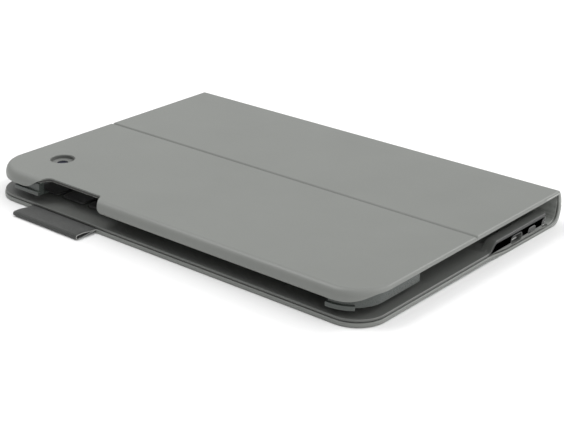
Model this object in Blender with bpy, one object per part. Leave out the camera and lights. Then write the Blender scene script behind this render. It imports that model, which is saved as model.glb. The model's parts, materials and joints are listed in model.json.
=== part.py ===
"""Tablet keyboard case: a folio cover with a slim wireless keyboard in its lower half.

The case lies closed. Lengths are in metres, +X runs along the case to its port end, +Y to its spine
and +Z up. Every part is laid out in the case's own level frame, whose height 0 is the foot of the
rear housing, and one parent empty then leans the whole case onto its front edge.
"""

import math

import bmesh
import bpy
from mathutils import Matrix, Vector

# ---------------------------------------------------------------- driving dimensions
# the bay between the cover and the keys takes a tablet of 200 x 134.7 x 7.2 mm
WIDTH = 0.212  # end to end
HALF_WIDTH = WIDTH / 2
FRONT_Y = -0.0715  # front edge of the cover and the base
REAR_Y = 0.0712  # rear edge of the cover's panels
CREASE_Y = 0.0045  # fold between the two cover panels

# heights in the case's own frame
COVER_TOP = 0.0159
PANEL_THICKNESS = 0.0021
COVER_UNDERSIDE = COVER_TOP - PANEL_THICKNESS
SKIRT_BOTTOM = 0.0110
CLIP_BOTTOM = 0.0086
LIP_BOTTOM = 0.00575
WALL_TOP = 0.0083  # raised ends of the rear housing
BAY_FLOOR = 0.0062  # housing top between its raised ends
SLOT_FLOOR = 0.0051
SLOT_Y = (0.0250, 0.0340)  # groove that takes the tablet's edge when it stands up
DECK_TOP = 0.00445
DECK_BOTTOM = 0.00325
PLATE_BOTTOM = 0.0011
BASE_EDGE = 0.0019  # visible height of the base cover's edge
BASE_FLOOR = 0.0008
TINY_GAP = 0.00015
CUT_GAP = 0.0003
HAIR = 0.00005

# where the rear housing grows out of the thin plate
STEP_START_Y = 0.0140
STEP_END_Y = 0.0320
RISE_START_Y = 0.0145
RISE_END_Y = 0.0210
BAY_START_Y = 0.0195
HOUSING_REAR_Y = 0.0635
LEAN = math.atan(PLATE_BOTTOM / (STEP_END_Y - FRONT_Y))

HEEL_Y = 0.0665  # the base cover curls up round the housing's rear edge
HEEL_RADIUS = 0.0048
HEEL_SKIN = 0.0014
HEEL_END_DEGREES = -35

COVER_CORNER = 0.0165
BASE_CORNER = 0.0140
REAR_CORNER = 0.0010
HOUSING_CORNER = 0.0040
DECK_INSET = 0.0004
END_PANEL_INSIDE = 0.1036
END_WALL_INSIDE = 0.1004
END_WALL_OUTSIDE = 0.1033
TRAY_X = 0.1015  # half width of the bottom housing
TRAY_FRONT_Y = -0.0668
TRAY_TOP = 0.0031
TRAY_GAP = 0.0005
DECK_STEP_Y = (0.0200, 0.0212)  # the deck's underside steps up here, over the housing's rear part
DECK_STEP_TOP = 0.0045
HOUSING_STEP_Y = 0.0356
HOUSING_LID = 0.00555

SHARP_CORNER = 0.0002
SKIN = 0.0006
SKIN_RIM = 0.0008
SKIRT_THICKNESS = 0.0013
BOARD = 0.0008
LAYER_GAP = 0.0001
LINING = 0.0005
POCKET_TOP = COVER_TOP - SKIN

# hinges: both spine folds run beside the spine, and the crease folds at the skin
LOWER_HINGE = (0.0716, 0.0018)
UPPER_HINGE = (0.0716, 0.0139)
CREASE_HINGE = (CREASE_Y, COVER_TOP)
CREASE_GAP = 0.0006

SPINE_CENTRE = (0.06095, 0.0082)
SPINE_RADIUS = 0.0130
SPINE_LOW = 0.0026
SPINE_HIGH = 0.0133
SPINE_SKIN = 0.0010
SPINE_HEM = 0.0006

CAMERA_X = -0.0865
CAMERA_Y = -0.0455
CAMERA_RADIUS = 0.00565
CAMERA_WINDOW_RADIUS = 0.0032
CAMERA_RING = 0.00035
NOTCH_X = (-0.0735, -0.0375)
NOTCH_REAR_Y = -0.0653
NOTCH_CORNER = 0.0010

TAB_X = (-0.0785, -0.0377)
TAB_ROOT_Y = -0.0713
TAB_HINGE = (-0.0714, 0.00255)
TAB_TIP = (-0.0816, 0.00255)
TAB_TIP_RADIUS = 0.00105
TAB_ROOT = (0.00215, 0.00295)
TAB_NOTCH_FLOOR = 0.00195
TAB_NOTCH_DEPTH = 0.0014

PORT_Z = 0.0042
USB_Y = 0.0370
SWITCH_Y = 0.0495
SWITCH_TRAVEL = 0.0026
KNOB_Y = SWITCH_Y + SWITCH_TRAVEL / 2
KNOB_HALF = (0.0011, 0.0010)
SWITCH_RECESS = (0.0058, 0.0026)
USB_RECESS = (0.0087, 0.0037)
USB_X = (0.1009, 0.1045)
USB_HALF = (0.0038, 0.00125)
USB_WALL = 0.00035
TONGUE_SETBACK = 0.0006
TONGUE_HALF_WIDTH = 0.0021
TONGUE_THICKNESS = 0.0005
CONTROL_INSIDE = 0.1042
CONTROL_OUTSIDE = 0.1054
BUTTON_Y = 0.0597
BUTTON_Z = 0.0041
BUTTON_RADIUS = 0.0014
LIGHT_Z = 0.0065
LIGHT_RADIUS = 0.00045

KEY_COLUMNS = 11
KEY_ROWS = 5
KEY_PITCH_X = 0.0165
KEY_PITCH_Y = 0.0144
KEY_GAP = 0.0024
KEY_LEFT_X = -KEY_COLUMNS * KEY_PITCH_X / 2
KEY_REAR_Y = 0.0122
KEY_BOTTOM = 0.00435
KEY_TOP = 0.0053
KEY_CORNER = 0.0016
KEY_WEB = 0.00025
WEB_REACH = 0.0040  # how far a web stops short of its keys' far edges
WEB_HALF_WIDTH = 0.0015
WELL_MARGIN = 0.0009

WELL_X = KEY_COLUMNS * KEY_PITCH_X / 2 + WELL_MARGIN
WELL_Y = (KEY_REAR_Y - KEY_ROWS * KEY_PITCH_Y - WELL_MARGIN, KEY_REAR_Y + WELL_MARGIN)

# inner parts, as X, Y and Z ranges
PLATE_MARGIN = 0.0008
BACKPLATE_Z = (0.00265, 0.00292)
MEMBRANE_Z = (0.00302, 0.00315)
MAGNET_BOX = ((-0.0450, 0.0450), (0.0316, 0.0351), (0.0018, 0.0042))
BATTERY_PLAN = ((-0.0940, -0.0200), (0.0380, 0.0605))
BATTERY_Z = (0.00178, 0.00525)
BATTERY_CORNER = 0.0015
BOARD_BOX = ((-0.0140, 0.0970), (0.0380, 0.0605), (0.0026, 0.0034))
CHIPS = ((0.0050, 0.0450, 0.0070), (0.0350, 0.0500, 0.0100), (0.0700, 0.0520, 0.0060))  # x, y, size
CHIP_HEIGHT = 0.0012

CLOSING_MAGNET = ((-0.0280, 0.0280), (-0.0655, -0.0625), 0.0007)  # X range, Y range, thickness

FAR = 0.02  # how far a cutter runs past what it cuts

CLIP_CENTRE = (0.0886, -0.0556)  # centre of the clip's bend round the tablet's corner
CLIP_WALL = (0.0144, 0.0117)  # outer and inner radius
CLIP_LIP = (0.0151, 0.0124)
CLIP_HOOK = (0.0126, 0.0094)
CLIP_SIDE_END_Y = -0.0313
CLIP_LIP_END_DEGREES = -48
CLIP_HOOK_THICKNESS = 0.0006
CLIP_OVERLAP = 0.0003
RIGHT_CLIP_END_X = 0.0860
LEFT_CLIP_END_X = 0.0732


def leaned_y(y, z):
    """Where a point of the case frame comes along Y once the case leans."""
    return y * math.cos(LEAN) - z * math.sin(LEAN)


def leaned_z(y, z):
    return y * math.sin(LEAN) + z * math.cos(LEAN)


# the origin is the middle of the case's footprint, at the surface it stands on
FOOTPRINT_FRONT_Y = leaned_y(*TAB_TIP) - TAB_TIP_RADIUS
FOOTPRINT_REAR_Y = leaned_y(*SPINE_CENTRE) + SPINE_RADIUS
ORIGIN_Y = (FOOTPRINT_FRONT_Y + FOOTPRINT_REAR_Y) / 2


# ---------------------------------------------------------------- scene and materials
def clear_scene():
    for obj in list(bpy.data.objects):
        bpy.data.objects.remove(obj, do_unlink=True)


def new_collection(name):
    collection = bpy.data.collections.new(name)
    bpy.context.scene.collection.children.link(collection)
    return collection


def new_empty(name, case_position, parent=None, parent_position=(0, 0, 0)):
    """An empty at a place in the case frame; its parent's place there is parent_position."""
    empty = bpy.data.objects.new(name, None)
    empty.empty_display_size = 0.01
    PARTS.objects.link(empty)
    empty.parent = parent
    empty.location = Vector(case_position) - Vector(parent_position)
    return empty


def new_material(name, colour, roughness, metallic=0.0):
    material = bpy.data.materials.new(name)
    material.use_nodes = True
    shader = material.node_tree.nodes["Principled BSDF"]
    shader.inputs["Base Color"].default_value = (*colour, 1.0)
    shader.inputs["Roughness"].default_value = roughness
    shader.inputs["Metallic"].default_value = metallic
    material.diffuse_color = (*colour, 1.0)
    return material


clear_scene()
PARTS = new_collection("tablet_keyboard_case")
CUTTERS = new_collection("cutters")

CASE = new_empty("case_frame", (0, -ORIGIN_Y, -leaned_z(FRONT_Y, PLATE_BOTTOM)))
CASE.rotation_euler.x = LEAN
LOWER_PIVOT = new_empty("spine_pivot", (0, *LOWER_HINGE), CASE)
UPPER_PIVOT = new_empty("rear_panel_pivot", (0, *UPPER_HINGE), LOWER_PIVOT, (0, *LOWER_HINGE))
CREASE_PIVOT = new_empty("crease_pivot", (0, *CREASE_HINGE), UPPER_PIVOT, (0, *UPPER_HINGE))
PIVOT_PLACES = {CASE: (0, 0, 0), LOWER_PIVOT: (0, *LOWER_HINGE), UPPER_PIVOT: (0, *UPPER_HINGE),
                CREASE_PIVOT: (0, *CREASE_HINGE)}

COVER_SKIN = new_material("cover_skin", (0.300, 0.308, 0.285), 0.62)
STIFF_BOARD = new_material("stiff_board", (0.080, 0.080, 0.075), 0.85)
INNER_LINING = new_material("inner_lining", (0.125, 0.130, 0.120), 0.85)
DECK_PLASTIC = new_material("deck_plastic", (0.082, 0.084, 0.078), 0.50)
END_PLASTIC = new_material("end_plastic", (0.235, 0.240, 0.220), 0.45)
CLIP_PLASTIC = new_material("clip_plastic", (0.120, 0.135, 0.122), 0.38)
KEY_PLASTIC = new_material("key_plastic", (0.045, 0.046, 0.044), 0.48)
TAB_FABRIC = new_material("tab_fabric", (0.075, 0.078, 0.073), 0.90)
STEEL = new_material("steel", (0.560, 0.560, 0.550), 0.30, 1.0)
SHEET_METAL = new_material("sheet_metal", (0.480, 0.480, 0.480), 0.40, 1.0)
MEMBRANE_FILM = new_material("membrane_film", (0.055, 0.056, 0.058), 0.40)
CIRCUIT_BOARD = new_material("circuit_board", (0.020, 0.110, 0.045), 0.45)
BATTERY_FOIL = new_material("battery_foil", (0.420, 0.420, 0.430), 0.35, 0.8)
LIGHT_LENS = new_material("light_lens", (0.500, 0.560, 0.480), 0.15)


# ---------------------------------------------------------------- building helpers
def arc(centre, radius, start_degrees, end_degrees, steps=6):
    points = []
    for index in range(steps + 1):
        angle = math.radians(start_degrees + (end_degrees - start_degrees) * index / steps)
        points.append((centre[0] + radius * math.cos(angle), centre[1] + radius * math.sin(angle)))
    return points


def rounded_rectangle(x_range, y_range, front_radius, rear_radius, steps=6):
    left, right = x_range
    front, rear = y_range
    points = arc((left + front_radius, front + front_radius), front_radius, 180, 270, steps)
    points += arc((right - front_radius, front + front_radius), front_radius, 270, 360, steps)
    points += arc((right - rear_radius, rear - rear_radius), rear_radius, 0, 90, steps)
    points += arc((left + rear_radius, rear - rear_radius), rear_radius, 90, 180, steps)
    return points


def smooth_step(value, start, end):
    share = min(max((value - start) / (end - start), 0.0), 1.0)
    return share * share * (3 - 2 * share)


def span(start, end, steps):
    return [start + (end - start) * index / steps for index in range(steps + 1)]


def link_part(obj, material, pivot):
    obj.data.materials.append(material)
    PARTS.objects.link(obj)
    obj.parent = pivot
    place = Vector(PIVOT_PLACES[pivot])
    obj.location = obj.location - place
    return obj


def link_cutter(obj):
    CUTTERS.objects.link(obj)
    obj.parent = CASE
    obj.hide_render = True
    obj.display_type = "WIRE"
    return obj


def centre_origin(obj, place):
    """Moves an object's origin to a place in the case frame, and leaves its shape where it is."""
    obj.data.transform(Matrix.Translation(-Vector(place)))
    obj.location = Vector(place)
    return obj


def outline_solid(name, outline, low, high, plane="XY"):
    """A flat outline swept from low to high: a plan outline upwards, a YZ outline along X."""
    curve = bpy.data.curves.new(name, "CURVE")
    curve.dimensions = "2D"
    curve.fill_mode = "BOTH"
    curve.extrude = (high - low) / 2
    spline = curve.splines.new("POLY")
    spline.points.add(len(outline) - 1)
    for point, (first, second) in zip(spline.points, outline):
        point.co = (first, second, 0, 1)
    spline.use_cyclic_u = True
    flat = bpy.data.objects.new(name + "_outline", curve)
    bpy.context.scene.collection.objects.link(flat)
    depsgraph = bpy.context.evaluated_depsgraph_get()
    mesh = bpy.data.meshes.new_from_object(flat.evaluated_get(depsgraph))
    bpy.data.objects.remove(flat, do_unlink=True)
    mesh.name = name
    mesh.materials.clear()
    mesh.transform(Matrix.Translation((0, 0, (low + high) / 2)))
    if plane == "YZ":
        mesh.transform(Matrix(((0, 0, 1, 0), (1, 0, 0, 0), (0, 1, 0, 0), (0, 0, 0, 1))))
    working = bmesh.new()
    working.from_mesh(mesh)
    bmesh.ops.remove_doubles(working, verts=working.verts, dist=1e-6)
    bmesh.ops.dissolve_limit(working, angle_limit=1e-4, verts=working.verts, edges=working.edges)
    bmesh.ops.recalc_face_normals(working, faces=working.faces)
    working.to_mesh(mesh)
    working.free()
    return bpy.data.objects.new(name, mesh)


def box_solid(name, x_range, y_range, z_range):
    working = bmesh.new()
    bmesh.ops.create_cube(working, size=1.0)
    size = [high - low for low, high in (x_range, y_range, z_range)]
    centre = [(high + low) / 2 for low, high in (x_range, y_range, z_range)]
    bmesh.ops.scale(working, vec=size, verts=working.verts)
    bmesh.ops.translate(working, vec=centre, verts=working.verts)
    mesh = bpy.data.meshes.new(name)
    working.to_mesh(mesh)
    working.free()
    return bpy.data.objects.new(name, mesh)


def rod_solid(name, radius, low, high, centre, axis="Z", segments=24):
    """A cylinder from low to high along X or Z, centred on the other two coordinates."""
    working = bmesh.new()
    bmesh.ops.create_cone(working, cap_ends=True, segments=segments, radius1=radius, radius2=radius,
                          depth=high - low)
    bmesh.ops.translate(working, vec=(0, 0, (low + high) / 2), verts=working.verts)
    if axis == "X":
        bmesh.ops.rotate(working, matrix=Matrix.Rotation(math.pi / 2, 3, "Y"), verts=working.verts)
        bmesh.ops.translate(working, vec=(0, *centre), verts=working.verts)
    else:
        bmesh.ops.translate(working, vec=(*centre, 0), verts=working.verts)
    mesh = bpy.data.meshes.new(name)
    working.to_mesh(mesh)
    working.free()
    mesh.shade_smooth()
    mesh.set_sharp_from_angle(angle=math.radians(40))
    return bpy.data.objects.new(name, mesh)


def apply_boolean(obj, other, operation):
    modifier = obj.modifiers.new(operation.lower() + "_" + other.name, "BOOLEAN")
    modifier.operation = operation
    modifier.solver = "EXACT"
    modifier.object = other


def cut(obj, *cutters):
    for cutter in cutters:
        apply_boolean(obj, cutter, "DIFFERENCE")


def join(obj, *others):
    for other in others:
        apply_boolean(obj, other, "UNION")


def keep_inside(obj, *others):
    for other in others:
        apply_boolean(obj, other, "INTERSECT")


# ---------------------------------------------------------------- curves of the base
def ground(y):
    """The surface that the case stands on, seen from the case's level frame."""
    return -(y - STEP_END_Y) * math.tan(LEAN)


def underside(y):
    """Bottom of the base: a thin plate, then an S down to the foot of the rear housing."""
    share = smooth_step(y, STEP_START_Y, STEP_END_Y)
    if y < STEP_END_Y:
        return PLATE_BOTTOM * (1 - share)
    return ground(y)


def end_top(y):
    """Top of the housing's raised ends, rising out of the deck."""
    return DECK_TOP + (WALL_TOP - DECK_TOP) * smooth_step(y, RISE_START_Y, RISE_END_Y)


STEP_YS = span(STEP_START_Y, STEP_END_Y, 8)
RISE_YS = span(RISE_START_Y, RISE_END_Y, 6)
END_BAND = ((END_WALL_INSIDE, END_WALL_OUTSIDE), (-END_WALL_OUTSIDE, -END_WALL_INSIDE))
HOUSING_CAVITIES = (  # name, half width, Y range, floor
    ("key_cavity", 0.0965, (-0.0630, 0.0155), 0.00255),
    ("rear_cavity", 0.0985, (0.0310, 0.0620), 0.0016),
)
TRAY_CORNER = 0.0100


# ---------------------------------------------------------------- base
def make_base_cover():
    heel_centre = (HEEL_Y, ground(HEEL_Y) + HEEL_RADIUS)
    rim_y = HOUSING_REAR_Y + TRAY_GAP
    outer = [(FRONT_Y, PLATE_BOTTOM)]
    outer += [(y, underside(y)) for y in STEP_YS]
    outer += arc(heel_centre, HEEL_RADIUS, -90, HEEL_END_DEGREES, 5)
    inner = arc(heel_centre, HEEL_RADIUS - HEEL_SKIN, HEEL_END_DEGREES, -90, 5)
    inner += [(rim_y, underside(rim_y) + BASE_EDGE)]
    inner += [(y, underside(y) + BASE_EDGE) for y in reversed(STEP_YS)]
    inner += [(FRONT_Y, PLATE_BOTTOM + BASE_EDGE)]
    cover = outline_solid("base_cover", outer + inner, -HALF_WIDTH, HALF_WIDTH, "YZ")
    plan = rounded_rectangle((-HALF_WIDTH, HALF_WIDTH), (FRONT_Y, HEEL_Y + 2 * HEEL_RADIUS), BASE_CORNER,
                             REAR_CORNER)
    keep_inside(cover, link_cutter(outline_solid("base_plan", plan, -FAR, FAR)))
    front = TRAY_FRONT_Y - TRAY_GAP
    rear = HOUSING_REAR_Y + CUT_GAP
    pocket = [(y, underside(y) + BASE_FLOOR) for y in [front] + STEP_YS + [rear]]
    pocket += [(rear, FAR), (front, FAR)]
    reach = TRAY_X + TRAY_GAP
    cut(cover, link_cutter(outline_solid("base_pocket", pocket, -reach, reach, "YZ")))
    notch_x = (TAB_X[0] - TRAY_GAP, TAB_X[1] + TRAY_GAP)
    notch_y = (FRONT_Y - FAR, FRONT_Y + TAB_NOTCH_DEPTH)
    cut(cover, link_cutter(box_solid("tab_notch", notch_x, notch_y, (TAB_NOTCH_FLOOR, FAR))))
    link_part(cover, COVER_SKIN, CASE)


def make_bottom_housing():
    floor = [(y, underside(y) + BASE_FLOOR + TINY_GAP) for y in [TRAY_FRONT_Y] + STEP_YS + [HOUSING_REAR_Y]]
    rear_top = HOUSING_LID - TINY_GAP
    step_top = DECK_STEP_TOP - TINY_GAP
    top = [(HOUSING_REAR_Y, rear_top), (HOUSING_STEP_Y + 2 * CUT_GAP, rear_top),
           (HOUSING_STEP_Y + 2 * CUT_GAP, step_top), (DECK_STEP_Y[1], step_top),
           (DECK_STEP_Y[0], TRAY_TOP), (TRAY_FRONT_Y, TRAY_TOP)]
    housing = outline_solid("bottom_housing", floor + top, -TRAY_X, TRAY_X, "YZ")
    plan = rounded_rectangle((-TRAY_X, TRAY_X), (TRAY_FRONT_Y, HOUSING_REAR_Y), TRAY_CORNER, HOUSING_CORNER)
    keep_inside(housing, link_cutter(outline_solid("housing_plan", plan, -FAR, FAR)))
    for name, x, y_range, floor_z in HOUSING_CAVITIES:
        cut(housing, link_cutter(box_solid(name, (-x, x), y_range, (floor_z, FAR))))
    cut(housing, USB_CLEARANCE)
    link_part(housing, END_PLASTIC, CASE)


def make_top_deck():
    front = FRONT_Y + DECK_INSET
    outline = [(front, DECK_BOTTOM), (DECK_STEP_Y[0], DECK_BOTTOM), (DECK_STEP_Y[1], DECK_STEP_TOP),
               (HOUSING_STEP_Y, DECK_STEP_TOP), (HOUSING_STEP_Y, HOUSING_LID), (HOUSING_REAR_Y, HOUSING_LID),
               (HOUSING_REAR_Y, BAY_FLOOR), (SLOT_Y[1], BAY_FLOOR), (SLOT_Y[1], SLOT_FLOOR),
               (SLOT_Y[0], SLOT_FLOOR), (SLOT_Y[0], BAY_FLOOR), (BAY_START_Y, BAY_FLOOR),
               (RISE_START_Y, DECK_TOP), (front, DECK_TOP)]
    edge = HALF_WIDTH - DECK_INSET
    deck = outline_solid("top_deck", outline, -edge, edge, "YZ")
    wall_foot = HOUSING_LID + TINY_GAP
    wall = [(RISE_START_Y, DECK_BOTTOM + CUT_GAP), (DECK_STEP_Y[0], DECK_BOTTOM + CUT_GAP),
            (DECK_STEP_Y[1], DECK_STEP_TOP + CUT_GAP), (HOUSING_STEP_Y - CUT_GAP, DECK_STEP_TOP + CUT_GAP),
            (HOUSING_STEP_Y, wall_foot), (HOUSING_REAR_Y, wall_foot), (HOUSING_REAR_Y, WALL_TOP)]
    wall += [(y, end_top(y)) for y in reversed(RISE_YS)]
    for side, (low, high) in zip(("right", "left"), END_BAND):
        join(deck, link_cutter(outline_solid("end_wall_" + side, wall, low, high, "YZ")))
    plan = rounded_rectangle((-edge, edge), (front, HOUSING_REAR_Y), BASE_CORNER - DECK_INSET,
                             HOUSING_CORNER)
    keep_inside(deck, link_cutter(outline_solid("deck_plan", plan, -FAR, FAR)))
    for side, sign in (("right", 1), ("left", -1)):
        ends = sorted((sign * (END_WALL_OUTSIDE + HAIR), sign * (HALF_WIDTH + FAR)))
        room_y = (RISE_START_Y, HOUSING_REAR_Y + FAR)
        cut(deck, link_cutter(box_solid("end_room_" + side, ends, room_y, (-FAR, FAR))))
    cut(deck, link_cutter(box_solid("key_well", (-WELL_X, WELL_X), WELL_Y, (-FAR, FAR))))
    cut(deck, USB_CLEARANCE)
    link_part(deck, DECK_PLASTIC, CASE)


def end_panel(name, sign):
    """A side panel of the rear housing, with its rear corner rounded in plan."""
    start = RISE_START_Y + CUT_GAP
    foot = BASE_EDGE + 2 * LAYER_GAP
    bottom = [(y, underside(y) + foot) for y in [start] + STEP_YS[1:] + [HOUSING_REAR_Y]]
    top = [(HOUSING_REAR_Y, WALL_TOP)]
    top += [(y, end_top(y)) for y in reversed(RISE_YS[1:])]
    top += [(start, DECK_TOP)]
    edge = HALF_WIDTH - DECK_INSET
    low, high = sorted((sign * END_PANEL_INSIDE, sign * edge))
    panel = outline_solid(name, bottom + top, low, high, "YZ")
    plan = rounded_rectangle((-edge, edge), (FRONT_Y, HOUSING_REAR_Y), BASE_CORNER, HOUSING_CORNER)
    keep_inside(panel, link_cutter(outline_solid(name + "_plan", plan, -FAR, FAR)))
    return panel


def pill(centre_y, centre_z, length, height, steps=6):
    radius = height / 2
    reach = length / 2 - radius
    right = arc((centre_y + reach, centre_z), radius, -90, 90, steps)
    left = arc((centre_y - reach, centre_z), radius, 90, 270, steps)
    return right + left


def make_end_panels():
    panel = end_panel("port_panel", 1)
    reach = (END_PANEL_INSIDE - FAR / 2, HALF_WIDTH + FAR / 2)
    for name, centre_y, (length, height) in (("usb_recess", USB_Y, USB_RECESS),
                                             ("switch_recess", SWITCH_Y, SWITCH_RECESS)):
        cut(panel, link_cutter(outline_solid(name, pill(centre_y, PORT_Z, length, height), *reach, "YZ")))
    for name, radius, z, sides in (("button_hole", BUTTON_RADIUS + 2 * LAYER_GAP, BUTTON_Z, 24),
                                   ("light_hole", LIGHT_RADIUS + LAYER_GAP, LIGHT_Z, 12)):
        cut(panel, link_cutter(rod_solid(name, radius, *reach, (BUTTON_Y, z), "X", sides)))
    link_part(panel, END_PLASTIC, CASE)
    link_part(end_panel("end_cap", -1), END_PLASTIC, CASE)


def make_usb_socket():
    y_range = (USB_Y - USB_HALF[0], USB_Y + USB_HALF[0])
    z_range = (PORT_Z - USB_HALF[1], PORT_Z + USB_HALF[1])
    shell = box_solid("usb_socket", USB_X, y_range, z_range)
    inside_y = (y_range[0] + USB_WALL, y_range[1] - USB_WALL)
    inside_z = (z_range[0] + USB_WALL, z_range[1] - USB_WALL)
    inside = box_solid("usb_inside", (USB_X[0] + USB_WALL, USB_X[1] + FAR), inside_y, inside_z)
    cut(shell, link_cutter(inside))
    tongue_x = (USB_X[0] + USB_WALL / 2, USB_X[1] - TONGUE_SETBACK)
    tongue_y = (USB_Y - TONGUE_HALF_WIDTH, USB_Y + TONGUE_HALF_WIDTH)
    tongue_z = (PORT_Z, PORT_Z + TONGUE_THICKNESS)
    join(shell, link_cutter(box_solid("usb_tongue", tongue_x, tongue_y, tongue_z)))
    link_part(shell, STEEL, CASE)


def make_port_controls():
    low, high = CONTROL_INSIDE, CONTROL_OUTSIDE
    knob_y = (KNOB_Y - KNOB_HALF[0], KNOB_Y + KNOB_HALF[0])
    knob_z = (PORT_Z - KNOB_HALF[1], PORT_Z + KNOB_HALF[1])
    knob = box_solid("power_switch_knob", (low, high), knob_y, knob_z)
    link_part(centre_origin(knob, (low, KNOB_Y, PORT_Z)), KEY_PLASTIC, CASE)
    button = rod_solid("connect_button", BUTTON_RADIUS, low, high, (BUTTON_Y, BUTTON_Z), "X")
    link_part(centre_origin(button, (low, BUTTON_Y, BUTTON_Z)), END_PLASTIC, CASE)
    light = rod_solid("status_light", LIGHT_RADIUS, low, high, (BUTTON_Y, LIGHT_Z), "X", 12)
    link_part(light, LIGHT_LENS, CASE)


def make_inner_parts():
    plate_x = (-WELL_X - PLATE_MARGIN, WELL_X + PLATE_MARGIN)
    plate_y = (WELL_Y[0] - PLATE_MARGIN, WELL_Y[1] + PLATE_MARGIN)
    link_part(box_solid("key_backplate", plate_x, plate_y, BACKPLATE_Z), SHEET_METAL, CASE)
    link_part(box_solid("keyboard_membrane", plate_x, plate_y, MEMBRANE_Z), MEMBRANE_FILM, CASE)
    link_part(box_solid("dock_magnet", *MAGNET_BOX), STEEL, CASE)
    battery = rounded_rectangle(*BATTERY_PLAN, BATTERY_CORNER, BATTERY_CORNER, 3)
    link_part(outline_solid("battery_cell", battery, *BATTERY_Z), BATTERY_FOIL, CASE)
    board = box_solid("main_board", *BOARD_BOX)
    board_top = BOARD_BOX[2][1]
    for index, (x, y, size) in enumerate(CHIPS):
        chip_y = (y - size / 2, y + size / 2)
        chip = box_solid(f"chip_{index}", (x, x + size), chip_y, (board_top - HAIR, board_top + CHIP_HEIGHT))
        join(board, link_cutter(chip))
    link_part(board, CIRCUIT_BOARD, CASE)


def make_pull_tab():
    root_low, root_high = TAB_ROOT
    outline = [(TAB_ROOT_Y, root_low), (TAB_ROOT_Y, root_high)]
    outline += arc(TAB_TIP, TAB_TIP_RADIUS, 90, 270, 8)
    tab = outline_solid("pull_tab", outline, *TAB_X, "YZ")
    link_part(centre_origin(tab, (0, *TAB_HINGE)), TAB_FABRIC, CASE)


# ---------------------------------------------------------------- keys
def key_outline(first_column, last_column, row):
    left = KEY_LEFT_X + first_column * KEY_PITCH_X + KEY_GAP / 2
    right = KEY_LEFT_X + last_column * KEY_PITCH_X - KEY_GAP / 2
    rear = KEY_REAR_Y - row * KEY_PITCH_Y - KEY_GAP / 2
    front = KEY_REAR_Y - (row + 1) * KEY_PITCH_Y + KEY_GAP / 2
    return (left, right), (front, rear)


def key_cap(name, first_column, last_column, row):
    x_range, y_range = key_outline(first_column, last_column, row)
    corners = rounded_rectangle(x_range, y_range, KEY_CORNER, KEY_CORNER, 2)
    return outline_solid(name, corners, KEY_BOTTOM, KEY_TOP)


def key_group(name, places):
    """Neighbouring keys that share one thin web under their caps."""
    group = key_cap(name, *places[0])
    previous = places[0]
    for index, place in enumerate(places[1:], start=1):
        join(group, link_cutter(key_cap(f"{name}_{index}", *place)))
        first_x, first_y = key_outline(*previous)
        second_x, second_y = key_outline(*place)
        if previous[2] == place[2]:
            middle = sum(first_y) / 2
            web_x = (min(first_x[0], second_x[0]) + WEB_REACH, max(first_x[1], second_x[1]) - WEB_REACH)
            web_y = (middle - WEB_HALF_WIDTH, middle + WEB_HALF_WIDTH)
        else:
            middle = (max(first_x[0], second_x[0]) + min(first_x[1], second_x[1])) / 2
            web_x = (middle - WEB_HALF_WIDTH, middle + WEB_HALF_WIDTH)
            web_y = (min(first_y[0], second_y[0]) + WEB_REACH, max(first_y[1], second_y[1]) - WEB_REACH)
        web = box_solid(f"{name}_web_{index}", web_x, web_y, (KEY_BOTTOM, KEY_BOTTOM + KEY_WEB))
        join(group, link_cutter(web))
        previous = place
    return group


def make_keys():
    letter_rows = (("qwertyuiop", 0.0, 1), ("asdfghjkl", 0.5, 2), ("zxcvbnm", 1.0, 3))
    for letters, first, row in letter_rows:
        for index, letter in enumerate(letters):
            cap = key_cap("key_" + letter, first + index, first + index + 1, row)
            link_part(cap, KEY_PLASTIC, CASE)
    link_part(key_cap("space_key", 4, 8, 4), KEY_PLASTIC, CASE)
    groups = {
        "number_keys": [(column, column + 1, 0) for column in range(KEY_COLUMNS)],
        "left_side_keys": [(0, 0.5, 2), (0, 1, 3)],
        "right_side_keys": [(10, 11, 1), (9.5, 11, 2), (10, 11, 3), (9, 10, 3), (8, 9, 3)],
        "bottom_left_keys": [(column, column + 1, 4) for column in range(4)],
        "bottom_right_keys": [(column, column + 1, 4) for column in range(8, KEY_COLUMNS)],
    }
    for name, places in groups.items():
        link_part(key_group(name, places), KEY_PLASTIC, CASE)


# ---------------------------------------------------------------- spine
def spine_sheet(name, outer_radius, thickness, low, high, half_width, material):
    """A sheet that follows the spine's bulge between two heights."""
    def bulge(radius, z):
        return SPINE_CENTRE[0] + math.sqrt(radius ** 2 - (z - SPINE_CENTRE[1]) ** 2)

    heights = span(low, high, 6)
    outline = [(bulge(outer_radius, z), z) for z in heights]
    outline += [(bulge(outer_radius - thickness, z), z) for z in reversed(heights)]
    link_part(outline_solid(name, outline, -half_width, half_width, "YZ"), material, LOWER_PIVOT)


def make_spine():
    spine_sheet("spine_skin", SPINE_RADIUS, SPINE_SKIN, SPINE_LOW, SPINE_HIGH, HALF_WIDTH, COVER_SKIN)
    board_radius = SPINE_RADIUS - SPINE_SKIN - 2 * LAYER_GAP
    spine_sheet("spine_board", board_radius, BOARD, SPINE_LOW + 2 * CUT_GAP, SPINE_HIGH - 2 * CUT_GAP,
                HALF_WIDTH - 2 * SPINE_HEM, STIFF_BOARD)
    spine_sheet("spine_lining", board_radius - BOARD - 2 * LAYER_GAP, SKIN, SPINE_LOW + CUT_GAP,
                SPINE_HIGH - CUT_GAP, HALF_WIDTH - SPINE_HEM, INNER_LINING)


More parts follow.
